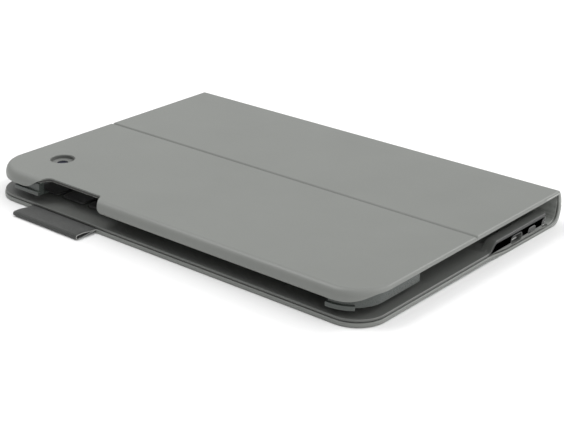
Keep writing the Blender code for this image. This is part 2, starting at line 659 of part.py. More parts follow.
# ---------------------------------------------------------------- cover panels
def panel_layers(name, plan, inner_plan, pivot, cutters, skirt_plan=None):
    """The skin, stiff board and lining of one cover panel, cut by the same openings."""
    bottom = COVER_UNDERSIDE if skirt_plan is None else SKIRT_BOTTOM
    skin = outline_solid(name + "_skin", plan, bottom, COVER_TOP)
    if skirt_plan is not None:
        cut(skin, link_cutter(outline_solid(name + "_skirt_room", skirt_plan, -FAR, COVER_UNDERSIDE)))
    cut(skin, link_cutter(outline_solid(name + "_pocket", inner_plan(SKIN_RIM), -FAR, POCKET_TOP)))
    board_top = POCKET_TOP - LAYER_GAP
    board = outline_solid(name + "_board", inner_plan(SKIN_RIM + CUT_GAP), board_top - BOARD, board_top)
    lining = outline_solid(name + "_lining", inner_plan(SKIN_RIM + 2 * LAYER_GAP), COVER_UNDERSIDE,
                           COVER_UNDERSIDE + LINING)
    for layer in (skin, board, lining):
        cut(layer, *cutters)
    link_part(skin, COVER_SKIN, pivot)
    link_part(board, STIFF_BOARD, pivot)
    link_part(lining, INNER_LINING, pivot)
    return board


def make_rear_panel():
    front = CREASE_Y + CREASE_GAP / 2

    def inner_plan(inset):
        reach = HALF_WIDTH - inset
        return rounded_rectangle((-reach, reach), (front + inset, REAR_Y - inset), SHARP_CORNER,
                                 2 * SHARP_CORNER, 1)

    plan = rounded_rectangle((-HALF_WIDTH, HALF_WIDTH), (front, REAR_Y), SHARP_CORNER, REAR_CORNER, 3)
    panel_layers("rear_panel", plan, inner_plan, UPPER_PIVOT, ())


def make_holder_panel():
    rear = CREASE_Y - CREASE_GAP / 2
    skirt_y = FRONT_Y + SKIRT_THICKNESS
    wide = HALF_WIDTH + FAR

    def inner_plan(inset):
        reach = HALF_WIDTH - inset
        return rounded_rectangle((-reach, reach), (skirt_y + inset, rear - inset), COVER_CORNER - inset,
                                 SHARP_CORNER, 8)

    plan = rounded_rectangle((-HALF_WIDTH, HALF_WIDTH), (FRONT_Y, rear), COVER_CORNER, SHARP_CORNER, 8)
    skirt_room = [(-wide, skirt_y), (wide, skirt_y), (wide, FAR), (-wide, FAR)]
    camera_place = (CAMERA_X, CAMERA_Y)
    camera = link_cutter(rod_solid("camera_hole", CAMERA_RADIUS, -FAR, 2 * FAR, camera_place))
    notch_plan = rounded_rectangle(NOTCH_X, (FRONT_Y - FAR, NOTCH_REAR_Y), NOTCH_CORNER, 2 * NOTCH_CORNER, 3)
    notch = link_cutter(outline_solid("button_notch", notch_plan, -FAR, 2 * FAR))
    board = panel_layers("holder_panel", plan, inner_plan, CREASE_PIVOT, (camera, notch), skirt_room)

    magnet_x, magnet_y, thickness = CLOSING_MAGNET
    board_top = POCKET_TOP - LAYER_GAP
    magnet = box_solid("closing_magnet", magnet_x, magnet_y, (board_top - thickness, board_top))
    room_x = (magnet_x[0] - TINY_GAP, magnet_x[1] + TINY_GAP)
    room_y = (magnet_y[0] - TINY_GAP, magnet_y[1] + TINY_GAP)
    room_z = (board_top - BOARD - LAYER_GAP, board_top + LAYER_GAP)
    cut(board, link_cutter(box_solid("magnet_room", room_x, room_y, room_z)))
    link_part(magnet, STEEL, CREASE_PIVOT)

    ring_top = COVER_UNDERSIDE + CAMERA_RING
    ring = rod_solid("camera_window_ring", CAMERA_RADIUS - TINY_GAP, COVER_UNDERSIDE, ring_top, camera_place)
    cut(ring, link_cutter(rod_solid("camera_window", CAMERA_WINDOW_RADIUS, -FAR, 2 * FAR, camera_place)))
    link_part(ring, END_PLASTIC, CREASE_PIVOT)


def corner_band(front_end_x, radii, side_end_y=None, end_degrees=0):
    """Plan of a band round the tablet's front right corner, outer radius first."""
    outer, inner = radii
    centre_x, centre_y = CLIP_CENTRE
    points = [(front_end_x, centre_y - outer)]
    points += arc(CLIP_CENTRE, outer, -90, end_degrees, 6)
    if side_end_y is not None:
        points += [(centre_x + outer, side_end_y), (centre_x + inner, side_end_y)]
    points += arc(CLIP_CENTRE, inner, end_degrees, -90, 6)
    points += [(front_end_x, centre_y - inner)]
    return points


def corner_clip(name, sign, wall_end_x):
    """A wall round the tablet's corner with a lip that reaches under the tablet's front edge."""
    def place(points):
        return [(sign * x, y) for x, y in points]

    top = COVER_UNDERSIDE - TINY_GAP
    wall_plan = place(corner_band(wall_end_x, CLIP_WALL, side_end_y=CLIP_SIDE_END_Y))
    wall = outline_solid(name, wall_plan, CLIP_BOTTOM, top)
    lip_end_x = wall_end_x - CLIP_OVERLAP
    lip_plan = place(corner_band(lip_end_x, CLIP_LIP, end_degrees=CLIP_LIP_END_DEGREES))
    lip = outline_solid(name + "_lip", lip_plan, LIP_BOTTOM, CLIP_BOTTOM + CLIP_OVERLAP)
    hook_plan = place(corner_band(lip_end_x, CLIP_HOOK, end_degrees=CLIP_LIP_END_DEGREES))
    hook = outline_solid(name + "_hook", hook_plan, LIP_BOTTOM, LIP_BOTTOM + CLIP_HOOK_THICKNESS)
    join(wall, link_cutter(lip), link_cutter(hook))
    link_part(wall, CLIP_PLASTIC, CREASE_PIVOT)


def make_corner_clips():
    corner_clip("corner_clip_right", 1, RIGHT_CLIP_END_X)
    corner_clip("corner_clip_left", -1, LEFT_CLIP_END_X)


# ---------------------------------------------------------------- assembly
USB_ROOM_Y = (USB_Y - USB_HALF[0] - CUT_GAP, USB_Y + USB_HALF[0] + CUT_GAP)
USB_ROOM_Z = (PORT_Z - USB_HALF[1] - CUT_GAP, PORT_Z + USB_HALF[1] + CUT_GAP)
USB_ROOM_X = (USB_X[0] - CUT_GAP, HALF_WIDTH)
USB_CLEARANCE = link_cutter(box_solid("usb_clearance", USB_ROOM_X, USB_ROOM_Y, USB_ROOM_Z))
make_base_cover()
make_bottom_housing()
make_top_deck()
make_end_panels()
make_usb_socket()
make_port_controls()
make_inner_parts()
make_pull_tab()
make_keys()
make_spine()
make_rear_panel()
make_holder_panel()
make_corner_clips()
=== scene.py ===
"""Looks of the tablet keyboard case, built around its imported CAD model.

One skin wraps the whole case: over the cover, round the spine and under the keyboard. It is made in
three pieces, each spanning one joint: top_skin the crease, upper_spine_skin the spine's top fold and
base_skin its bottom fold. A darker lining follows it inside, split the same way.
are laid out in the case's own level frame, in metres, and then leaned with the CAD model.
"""

import json
import math

import bmesh
import bpy
from mathutils import Matrix, Vector

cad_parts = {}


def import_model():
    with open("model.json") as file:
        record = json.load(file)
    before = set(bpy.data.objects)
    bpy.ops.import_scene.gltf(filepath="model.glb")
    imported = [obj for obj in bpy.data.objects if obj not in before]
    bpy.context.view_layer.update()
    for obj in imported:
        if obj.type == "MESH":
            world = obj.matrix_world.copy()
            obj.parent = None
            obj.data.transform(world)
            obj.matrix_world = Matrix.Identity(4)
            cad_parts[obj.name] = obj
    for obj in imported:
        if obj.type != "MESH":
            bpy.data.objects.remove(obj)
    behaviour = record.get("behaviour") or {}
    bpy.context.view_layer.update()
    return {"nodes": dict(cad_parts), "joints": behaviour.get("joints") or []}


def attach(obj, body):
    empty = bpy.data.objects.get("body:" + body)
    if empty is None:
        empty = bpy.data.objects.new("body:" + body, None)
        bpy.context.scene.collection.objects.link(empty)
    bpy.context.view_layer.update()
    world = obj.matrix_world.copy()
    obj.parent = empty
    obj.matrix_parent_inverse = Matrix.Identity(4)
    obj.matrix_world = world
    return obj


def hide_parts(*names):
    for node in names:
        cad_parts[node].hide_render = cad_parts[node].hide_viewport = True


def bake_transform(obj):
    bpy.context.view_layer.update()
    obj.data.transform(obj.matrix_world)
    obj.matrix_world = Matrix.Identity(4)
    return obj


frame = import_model()

MM = 0.001

# ---------------------------------------------------------------- sizes shared with the CAD model
HALF_WIDTH = 0.106
FRONT_Y = -0.0715
CREASE_Y = 0.0045
COVER_TOP = 0.0159
PANEL = 0.0021
SKIRT = 0.0050
COVER_CORNER = 0.0165
BASE_CORNER = 0.0140
BASE_EDGE = 0.0019
BASE_FLOOR = 0.0008
PLATE_BOTTOM = 0.0011
DECK_BOTTOM = 0.00325
DECK_TOP = 0.00445
DECK_INSET = 0.0004
BAY_FLOOR = 0.0062
SLOT_FLOOR = 0.0051
WALL_TOP = 0.0083
STEP_Y = (0.0140, 0.0320)
RISE_Y = (0.0155, 0.0212)
HOUSING_REAR_Y = 0.0635
HOUSING_CORNER = 0.0040
SPINE_CENTRE = (0.06095, 0.0082)
SPINE_RADIUS = 0.0130
NOTCH_X = (-0.0737, -0.0400)
NOTCH_REAR_Y = -0.0653
CAMERA = (-0.0865, -0.0455)
CAMERA_RADIUS = 0.00565
PORT_Z = 0.0042
USB_Y = 0.0370
SWITCH_Y = 0.0495
BUTTON = (0.0597, 0.0041)
LIGHT_Z = 0.0065
TAB_X = (-0.0785, -0.0377)
CLIP_CENTRE = (0.0886, -0.0556)
WALL_X = (0.1004, 0.1056)  # a raised end of the rear housing
PANEL_X = (0.1036, HALF_WIDTH - DECK_INSET)  # the light end panel in its outer face


def joint(name):
    return next(entry for entry in frame["joints"] if entry["name"] == name)


DOWN = joint("key_a_press")["axis"]
LEAN = math.atan2(DOWN[1], -DOWN[2])
LEAN_TURN = Matrix.Rotation(LEAN, 4, "X")
CREASE_PLACE = Vector(joint("crease_hinge")["pos_m"])
LEVEL = Matrix.Translation(CREASE_PLACE - LEAN_TURN @ Vector((0, CREASE_Y, COVER_TOP))) @ LEAN_TURN
UNLEVEL = LEVEL.inverted()


def level_box(node):
    """Lowest and highest corner of a CAD node in the level frame."""
    points = [UNLEVEL @ vertex.co for vertex in frame["nodes"][node].data.vertices]
    low = Vector([min(point[axis] for point in points) for axis in range(3)])
    high = Vector([max(point[axis] for point in points) for axis in range(3)])
    return low, high


def world(y, z):
    return LEVEL @ Vector((0, y, z))


# ---------------------------------------------------------------- small maths
def mix(a, b, share):
    return a + (b - a) * share


def smooth_step(value, start, end):
    share = min(max((value - start) / (end - start), 0.0), 1.0)
    return share * share * (3 - 2 * share)


def span(start, end, steps):
    return [start + (end - start) * index / steps for index in range(steps + 1)]


def arc(centre, radius, start_degrees, end_degrees, steps=8):
    points = []
    for degrees in span(start_degrees, end_degrees, steps):
        angle = math.radians(degrees)
        points.append((centre[0] + radius * math.cos(angle), centre[1] + radius * math.sin(angle)))
    return points


def circle(centre, radius, sides):
    return arc(centre, radius, 0, 360, sides)[:-1]


def front_corners(corner, steps):
    """The case's two front corners in plan, from the left side round to the right."""
    points = arc((-HALF_WIDTH + corner, FRONT_Y + corner), corner, 180, 270, steps)
    return points + arc((HALF_WIDTH - corner, FRONT_Y + corner), corner, 270, 360, steps)


def quarter(across, down, start_degrees, end_degrees, steps):
    """Inset and fall round a plate's edge, from its side (0 degrees) to its face (90 degrees)."""
    turns = [math.radians(degrees) for degrees in span(start_degrees, end_degrees, steps)]
    return [(across * (1 - math.cos(turn)), down * (1 - math.sin(turn))) for turn in turns]


def rounded_rectangle(x_range, y_range, front_radius, rear_radius, steps=8):
    (left, right), (front, rear) = x_range, y_range
    points = arc((left + front_radius, front + front_radius), front_radius, 180, 270, steps)
    points += arc((right - front_radius, front + front_radius), front_radius, 270, 360, steps)
    points += arc((right - rear_radius, rear - rear_radius), rear_radius, 0, 90, steps)
    points += arc((left + rear_radius, rear - rear_radius), rear_radius, 90, 180, steps)
    return points


def pill(centre, length, height, steps=10):
    radius = height / 2
    reach = length / 2 - radius
    points = arc((centre[0] + reach, centre[1]), radius, -90, 90, steps)
    points += arc((centre[0] - reach, centre[1]), radius, 90, 270, steps)
    return points


def ground(y):
    return -(y - STEP_Y[1]) * math.tan(LEAN)


def underside(y):
    """Bottom of the base skin: a thin plate, then an S down to the foot of the rear housing."""
    if y < STEP_Y[1]:
        return PLATE_BOTTOM * (1 - smooth_step(y, *STEP_Y))
    return ground(y)


def end_top(y):
    return DECK_TOP + (WALL_TOP - DECK_TOP) * smooth_step(y, *RISE_Y)


def table(stops):
    """A function that runs straight between (place, value) stops."""
    def value(place):
        if place <= stops[0][0]:
            return stops[0][1]
        for (a, low), (b, high) in zip(stops, stops[1:]):
            if place <= b:
                return mix(low, high, (place - a) / (b - a))
        return stops[-1][1]
    return value


# ---------------------------------------------------------------- mesh helpers
def outward(points):
    """Adds to each point of a loop, anticlockwise for a rim, the vector that offsets it by one."""
    result = []
    count = len(points)
    for index, (x, y) in enumerate(points):
        before = Vector(points[index - 1])
        after = Vector(points[(index + 1) % count])
        here = Vector((x, y))
        first = (here - before).normalized()
        second = (after - here).normalized()
        n1 = Vector((first.y, -first.x))
        n2 = Vector((second.y, -second.x))
        mitre = (n1 + n2) / max(1 + n1.dot(n2), 0.3)
        result.append((x, y, mitre.x, mitre.y))
    return result


def loops_solid(loops, marked=None):
    """A closed plate between loops. Each loop is (points, profile): the rim first, anticlockwise, then
    holes, clockwise. The profile lists (inset, height) from the low face round to the high face, and
    may be a function of x and y that gives such a list.
    marked = (first, last) gives the faces between those rings of the rim the second material."""
    bm = bmesh.new()
    low_edges, high_edges = [], []
    for number, (points, profile) in enumerate(loops):
        offsets = outward(points)
        sections = [profile(x, y) if callable(profile) else profile for x, y, _, _ in offsets]
        rings = []
        for step in range(len(sections[0])):
            ring = []
            for (x, y, nx, ny), section in zip(offsets, sections):
                inset, height = section[step]
                ring.append(bm.verts.new((x - nx * inset, y - ny * inset, height)))
            rings.append(ring)
        for step, (lower, upper) in enumerate(zip(rings, rings[1:])):
            for index in range(len(lower)):
                after = (index + 1) % len(lower)
                face = bm.faces.new((lower[index], lower[after], upper[after], upper[index]))
                if marked and number == 0 and marked[0] <= step < marked[1]:
                    face.material_index = 1
        for ring, edges in ((rings[0], low_edges), (rings[-1], high_edges)):
            edges += [bm.edges.get((ring[index - 1], ring[index])) for index in range(len(ring))]
        if len(loops) == 1:
            bm.faces.new(rings[0])
            bm.faces.new(rings[-1])
    if len(loops) > 1:
        for edges in (low_edges, high_edges):
            bmesh.ops.triangle_fill(bm, use_beauty=True, use_dissolve=False, edges=edges)
    bmesh.ops.recalc_face_normals(bm, faces=bm.faces)
    return bm


def slice_at(bm, axis, places):
    normal = Vector((0, 0, 0))
    normal[axis] = 1
    for place in places:
        point = Vector((0, 0, 0))
        point[axis] = place
        geometry = bm.verts[:] + bm.edges[:] + bm.faces[:]
        bmesh.ops.bisect_plane(bm, geom=geometry, dist=1e-7, plane_co=point, plane_no=normal)


def cut_off(bm, y, keep_front=True):
    """Cuts the mesh at a Y and closes it with a flat face."""
    geometry = bm.verts[:] + bm.edges[:] + bm.faces[:]
    result = bmesh.ops.bisect_plane(bm, geom=geometry, dist=1e-7, plane_co=(0, y, 0), plane_no=(0, 1, 0),
                                    clear_outer=keep_front, clear_inner=not keep_front)
    edges = [item for item in result["geom_cut"] if isinstance(item, bmesh.types.BMEdge)]
    bmesh.ops.triangle_fill(bm, use_beauty=True, use_dissolve=False, edges=edges)
    bmesh.ops.recalc_face_normals(bm, faces=bm.faces)


def reshape(bm, rule):
    for vertex in bm.verts:
        vertex.co = Vector(rule(*vertex.co))


def stood_up(x, y, z):
    """Takes a plate drawn in Y and Z, with its height along X, to its place."""
    return z, x, y


def new_object(name, bm):
    mesh = bpy.data.meshes.new(name)
    bmesh.ops.recalc_face_normals(bm, faces=bm.faces)
    bm.to_mesh(mesh)
    bm.free()
    obj = bpy.data.objects.new(name, mesh)
    bpy.context.scene.collection.objects.link(obj)
    return obj


def evaluate(obj):
    """Replaces an object's mesh by the result of its modifiers."""
    depsgraph = bpy.context.evaluated_depsgraph_get()
    mesh = bpy.data.meshes.new_from_object(obj.evaluated_get(depsgraph))
    obj.modifiers.clear()
    obj.data = mesh
    if len(mesh.materials):
        mesh.materials.clear()


def boolean(obj, other, operation="DIFFERENCE"):
    modifier = obj.modifiers.new(operation.lower(), "BOOLEAN")
    modifier.operation = operation
    modifier.solver = "EXACT"
    modifier.object = other
    evaluate(obj)
    bpy.data.objects.remove(other, do_unlink=True)


def round_edges(obj, width, segments=3, degrees=40):
    modifier = obj.modifiers.new("round", "BEVEL")
    modifier.width = width
    modifier.segments = segments
    modifier.limit_method = "ANGLE"
    modifier.angle_limit = math.radians(degrees)
    evaluate(obj)


def box(name, x_range, y_range, z_range):
    bm = bmesh.new()
    bmesh.ops.create_cube(bm, size=1.0)
    ranges = (x_range, y_range, z_range)
    bmesh.ops.scale(bm, vec=[high - low for low, high in ranges], verts=bm.verts)
    bmesh.ops.translate(bm, vec=[(high + low) / 2 for low, high in ranges], verts=bm.verts)
    return new_object(name, bm)


def settle(obj, materials, body=None, stands_for=(), sharp=35):
    """Shades a piece, leans it with the case, gives it its materials and lets it ride on its body."""
    obj.data.transform(LEVEL)
    for material in materials if isinstance(materials, (list, tuple)) else [materials]:
        obj.data.materials.append(material)
    obj.data.shade_smooth()
    obj.data.set_sharp_from_angle(angle=math.radians(sharp))
    if stands_for:
        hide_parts(*stands_for)
    if body:
        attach(obj, body)
    return obj


def rim(thickness, low_round, high_round, steps=4):
    """Profile of a plate's edge: rounded at its low and high corners."""
    section = [(low_round, 0.0)] + quarter(low_round, low_round, 90, 0, steps)[1:]
    section += [(inset, thickness - fall) for inset, fall in quarter(high_round, high_round, 0, 90, steps)]
    return section + [(high_round * 1.3, thickness)]


# ---------------------------------------------------------------- materials
def node_material(name):
    material = bpy.data.materials.new(name)
    material.use_nodes = True
    nodes = material.node_tree.nodes
    return material, nodes, material.node_tree.links, nodes["Principled BSDF"]


def add_node(nodes, kind, values=(), **settings):
    """A shader node with its settings and its inputs' values."""
    node = nodes.new("ShaderNode" + kind)
    for setting, value in settings.items():
        setattr(node, setting, value)
    set_values(node, dict(values))
    return node


def set_values(node, values):
    for socket, value in values.items():
        node.inputs[socket].default_value = value


def coordinates(nodes):
    return nodes.new("ShaderNodeTexCoord").outputs["Object"]


def noise(nodes, links, vector, scale, detail=2.0, roughness=0.5):
    node = add_node(nodes, "TexNoise", {"Scale": scale, "Detail": detail, "Roughness": roughness})
    links.new(vector, node.inputs["Vector"])
    return node.outputs["Fac"]


def ramp(nodes, links, source, stops):
    node = nodes.new("ShaderNodeValToRGB")
    elements = node.color_ramp.elements
    elements[0].position, elements[0].color = stops[0][0], (*stops[0][1], 1)
    elements[1].position, elements[1].color = stops[-1][0], (*stops[-1][1], 1)
    links.new(source, node.inputs["Fac"])
    return node.outputs["Color"]


def value_range(nodes, links, source, low, high, start=0.3, end=0.7):
    node = add_node(nodes, "MapRange", {"From Min": start, "From Max": end, "To Min": low, "To Max": high})
    links.new(source, node.inputs["Value"])
    return node.outputs["Result"]


def bump(nodes, links, height, distance):
    node = add_node(nodes, "Bump", {"Distance": distance})
    links.new(height, node.inputs["Height"])
    return node.outputs["Normal"]


def tinted(colour, share):
    return tuple(min(channel * share, 1.0) for channel in colour)


def grained(name, colour, roughness, grain_mm, depth_mm, spread=0.06, cells=0.0, sheen=0.0,
            specular=0.5, patch_mm=25.0, metallic=0.0):
    """A surface with fine grain, soft patches of tone and uneven gloss."""
    material, nodes, links, shader = node_material(name)
    vector = coordinates(nodes)
    patches = noise(nodes, links, vector, 1000 / patch_mm, 3.0)
    fine = noise(nodes, links, vector, 1000 / grain_mm, 3.0, 0.6)
    blend = add_node(nodes, "Mix", {"Factor": 0.45}, data_type="FLOAT")
    links.new(patches, blend.inputs["A"])
    links.new(fine, blend.inputs["B"])
    tone = blend.outputs["Result"]
    stops = ((0.3, tinted(colour, 1 - spread)), (0.7, tinted(colour, 1 + spread)))
    links.new(ramp(nodes, links, tone, stops), shader.inputs["Base Color"])
    links.new(value_range(nodes, links, fine, roughness - 0.07, roughness + 0.07),
              shader.inputs["Roughness"])
    set_values(shader, {"Metallic": metallic, "Specular IOR Level": specular, "Sheen Weight": sheen,
                        "Sheen Roughness": 0.5})
    height = fine
    if cells:
        pores = add_node(nodes, "TexVoronoi", {"Scale": 1000 / cells}, feature="SMOOTH_F1")
        links.new(vector, pores.inputs["Vector"])
        height = pores.outputs["Distance"]
    links.new(bump(nodes, links, height, depth_mm * MM), shader.inputs["Normal"])
    return material


def woven(name, colour, thread_mm, depth_mm, roughness=0.85, sheen=0.3, spread=0.25):
    """Cloth with threads along X and Y."""
    material, nodes, links, shader = node_material(name)
    vector = coordinates(nodes)
    waves = []
    for axis in ("X", "Y"):
        wave = add_node(nodes, "TexWave", {"Scale": 1000 / thread_mm / 20 * math.pi, "Distortion": 0.6,
                                           "Detail Scale": 40.0}, bands_direction=axis)
        links.new(vector, wave.inputs["Vector"])
        waves.append(wave.outputs["Fac"])
    weave = add_node(nodes, "Math", operation="MULTIPLY")
    links.new(waves[0], weave.inputs[0])
    links.new(waves[1], weave.inputs[1])
    tone = noise(nodes, links, vector, 1000 / (thread_mm * 6), 4.0)
    mixer = add_node(nodes, "Math", {1: 0.5}, operation="MULTIPLY_ADD")
    links.new(weave.outputs[0], mixer.inputs[0])
    links.new(tone, mixer.inputs[2])
    stops = ((0.25, tinted(colour, 1 - spread)), (0.95, tinted(colour, 1 + spread)))
    links.new(ramp(nodes, links, mixer.outputs[0], stops), shader.inputs["Base Color"])
    links.new(value_range(nodes, links, tone, roughness - 0.06, roughness + 0.06),
              shader.inputs["Roughness"])
    set_values(shader, {"Sheen Weight": sheen, "Sheen Roughness": 0.6, "Specular IOR Level": 0.25})
    links.new(bump(nodes, links, weave.outputs[0], depth_mm * MM), shader.inputs["Normal"])
    return material


SKIN = grained("coated_skin", (0.177, 0.184, 0.173), 0.42, 0.35, 0.014, 0.04, cells=0.32, sheen=0.03,
               specular=0.42)
LINING = woven("microfibre_lining", (0.225, 0.235, 0.220), 0.30, 0.015)
DECK = grained("deck_plastic", (0.100, 0.104, 0.098), 0.46, 0.22, 0.006, 0.06)
# lighter, glossier copy of the deck plastic for the deck's chamfer: a painted highlight along its edge
DECK_CHAMFER_HIGHLIGHT = grained("deck_edge_highlight", (0.125, 0.129, 0.123), 0.34, 0.25, 0.003, 0.04)
# near-black copy of the deck plastic for the end walls' outward faces: painted shade under the cover's rim
SHADED_LID = grained("lid_painted_shade", (0.024, 0.025, 0.024), 0.44, 0.22, 0.005, 0.06)
END = grained("end_plastic", (0.104, 0.108, 0.101), 0.42, 0.25, 0.004, 0.04)
FLOOR_PLATE = grained("camera_plate", (0.140, 0.144, 0.138), 0.50, 0.25, 0.003, 0.04)
BUTTON_PLASTIC = grained("button_plastic", (0.260, 0.265, 0.258), 0.36, 0.25, 0.002, 0.03)
SOCKET = grained("socket_shell", (0.030, 0.030, 0.030), 0.40, 0.30, 0.002, 0.03)
CLIP = grained("clip_plastic", (0.050, 0.058, 0.053), 0.30, 0.30, 0.003, 0.06)
KEY = grained("key_plastic", (0.040, 0.041, 0.040), 0.50, 0.20, 0.008, 0.10)
LEGEND = grained("key_legend", (0.560, 0.560, 0.550), 0.55, 0.20, 0.002, 0.04)
BOARD = grained("fibre_board", (0.060, 0.060, 0.056), 0.85, 0.50, 0.020, 0.15)
TAB = woven("tab_webbing", (0.030, 0.032, 0.030), 0.45, 0.070, 0.88, 0.20, 0.40)
TAB_CUT = woven("tab_cut_edge", (0.330, 0.335, 0.325), 0.30, 0.020, 0.85, 0.20, 0.20)
# lighter copy of the skin for the layer line round the spine: the dent is real, its light colour is a painted
# highlight
LAYER_HIGHLIGHT = grained("skin_layer_highlight", (0.420, 0.430, 0.412), 0.50, 0.30, 0.002, 0.04)
GLASS = grained("window_glass", (0.010, 0.011, 0.024), 0.10, 0.50, 0.0005, 0.03)
STEEL = grained("plated_steel", (0.560, 0.560, 0.550), 0.30, 0.30, 0.002, 0.03, metallic=1.0)
SHEET = grained("stamped_sheet", (0.480, 0.480, 0.480), 0.40, 0.40, 0.003, 0.04, metallic=1.0)
FILM = grained("membrane_film", (0.030, 0.031, 0.032), 0.42, 0.40, 0.003, 0.06)
CIRCUIT = grained("solder_mask", (0.020, 0.110, 0.045), 0.42, 0.60, 0.006, 0.12)
FOIL = grained("battery_foil", (0.420, 0.420, 0.430), 0.36, 1.20, 0.020, 0.06, metallic=0.8)
LENS = grained("light_lens", (0.500, 0.560, 0.480), 0.15, 0.50, 0.001, 0.03)


# ---------------------------------------------------------------- the skin's path round the spine
class Fold:
    """A fillet between a flat face and the spine's bulge. Angles are the outward normal's."""

    def __init__(self, radius, flat_angle, flat_distance, sign):
        self.radius = radius
        self.sign = sign
        rise = math.asin((flat_distance - radius) / (SPINE_RADIUS - radius))
        self.flat_angle = flat_angle
        self.join_angle = flat_angle + sign * (math.pi / 2 - rise)
        reach = SPINE_RADIUS - radius
        self.centre = (SPINE_CENTRE[0] + reach * math.cos(self.join_angle),
                       SPINE_CENTRE[1] + reach * math.sin(self.join_angle))
        self.start_y = self.centre[0] + radius * math.cos(flat_angle)
        self.turn_length = radius * abs(self.join_angle - self.flat_angle)
        self.spine_length = SPINE_RADIUS * abs(self.join_angle)

    def point(self, distance, depth):
        """Y and Z at a distance past the flat face's end, some depth under the outer surface."""
        if distance <= self.turn_length:
            angle = self.flat_angle + self.sign * distance / self.radius
            centre, radius = self.centre, self.radius
        else:
            angle = self.join_angle + self.sign * (distance - self.turn_length) / SPINE_RADIUS
            centre, radius = SPINE_CENTRE, SPINE_RADIUS
        radius -= depth
        return centre[0] + radius * math.cos(angle), centre[1] + radius * math.sin(angle)

    def stations(self):
        """Distances at which the sheet bends."""
        turn = span(0, self.turn_length, 12)
        return turn + span(self.turn_length, self.turn_length + self.spine_length, 8)[1:]


TOP_FOLD = Fold(0.0025, math.pi / 2, COVER_TOP - SPINE_CENTRE[1], -1)
FOOT_DISTANCE = (SPINE_CENTRE[0] - STEP_Y[1]) * math.sin(LEAN) + SPINE_CENTRE[1] * math.cos(LEAN)
HEEL_FOLD = Fold(0.0050, -math.pi / 2 - LEAN, FOOT_DISTANCE, 1)
SEAM_Y = 0.0600  # the top skin and the upper spine skin meet here, on the rear panel


# ---------------------------------------------------------------- top skin
SIDE_ROUND = (0.0009, 0.0009)
FRONT_ROUND = (0.0032, 0.0044)
SKIN_THICKNESS = 0.0006
RIM_WIDTH = 0.0008
SKIRT_WIDTH = 0.0013
LIP = 0.0004
GROOVE_HALF_WIDTH = 0.0012
GROOVE_DEPTH = 0.00095


def front_share(y):
    """1 along the front edge, falling to 0 round the corners to the sides."""
    return 1 - smooth_step(y, FRONT_Y + 0.0004, FRONT_Y + COVER_CORNER * 1.15)


def cover_outline(rear_y):
    return front_corners(COVER_CORNER, 32) + [(HALF_WIDTH, rear_y), (-HALF_WIDTH, rear_y)]


def skin_numbers(y):
    """Edge rounding across and down, edge depth, wall width and pocket inset of the top skin's rim."""
    front = front_share(y)
    depth = mix(SKIRT, PANEL, smooth_step(y, FRONT_Y + 0.0001, FRONT_Y + 0.0112))
    across = mix(SIDE_ROUND[0], FRONT_ROUND[0], front)
    down = min(mix(SIDE_ROUND[1], FRONT_ROUND[1], front), depth - LIP - 0.00005)
    wall = mix(RIM_WIDTH, SKIRT_WIDTH, front)
    return across, down, depth, wall, wall + mix(0.00002, RIM_WIDTH, front)


def skin_section(across, down, depth, wall, pocket, layered=False):
    """Depths run down from the outer surface: pocket ceiling, pocket wall, lip, outer wall, top edge."""
    under = min(PANEL, depth - LIP)
    section = [(pocket, SKIN_THICKNESS), (pocket, under), (wall, under + 0.00001)]
    section += [(wall - inset, depth - fall) for inset, fall in quarter(LIP, LIP, 0, 90, 4)]
    section += [(inset, depth - fall) for inset, fall in quarter(LIP, LIP, 90, 0, 4)]
    if layered:
        section += [(0.0, LAYER_LINE + 0.00014), (0.0, LAYER_LINE), (0.0, LAYER_LINE - 0.00014)]
    section += quarter(across, down, 0, 90, 10)
    section.append((across + 0.0003, 0.0))
    return section


def groove(x, y):
    """Depth of the crease, which is a little shallower over the side edges."""
    fade = 1 - 0.25 * smooth_step(abs(x), HALF_WIDTH - 0.0010, HALF_WIDTH)
    across = min(abs(y - CREASE_Y) / GROOVE_HALF_WIDTH, 1.0)
    return GROOVE_DEPTH * fade * (1 - smooth_step(across, 0.0, 1.0)) ** 1.3


GROOVE_YS = [CREASE_Y] + [CREASE_Y + side * offset * GROOVE_HALF_WIDTH for side in (-1, 1)
                          for offset in (0.08, 0.16, 0.25, 0.35, 0.45, 0.56, 0.68, 0.8, 0.9, 1.0, 1.4, 2.0)]


def notch_plan(margin=0.0):
    """The opening over the tablet's buttons, wider at the front edge than at its rear."""
    left, right = NOTCH_X[0] - margin, NOTCH_X[1] + margin
    rear = NOTCH_REAR_Y + margin
    points = [(left - 0.0022, FRONT_Y - 0.0020), (right + 0.0042, FRONT_Y - 0.0020)]
    points += [(right + 0.0037, FRONT_Y), (right + 0.00035, rear - 0.0006), (right + 0.0001, rear - 0.0002)]
    points += [(right - 0.0005, rear)]
    points += arc((left + 0.0030, rear - 0.0030), 0.0030, 90, 180, 10)
    points += arc((left - 0.0040, FRONT_Y + 0.0030), 0.0040, 0, -50, 8)
    return points


# the skirt's lower edge climbs to the notch's left corner: stops of X and height
CLIMB = [(-0.0865, 0.0109), (-0.0840, 0.01098), (-0.0820, 0.01130), (-0.0802, 0.01185), (-0.0786, 0.01265),
         (-0.0772, 0.01360), (-0.0758, 0.01455), (-0.0746, 0.01515), (-0.0730, 0.01550)]


def skirt_cut_right():
    curve = [(-0.0363, 0.0131), (-0.0361, 0.0125), (-0.0357, 0.0119), (-0.0351, 0.0114), (-0.0343, 0.01105),
             (-0.0334, 0.01088)]
    return [(-0.0385, 0.0131), (-0.0385, 0.0095), (-0.0334, 0.0095)] + curve[::-1]


def prism(name, outline, low, high, standing=False):
    """A cutter: a plan outline swept up, or an outline in X and height swept along Y."""
    bm = loops_solid([(outline, [(0, low), (0, high)])])
    if standing:
        reshape(bm, lambda x, z, y: (x, y, z))
    return new_object(name, bm)


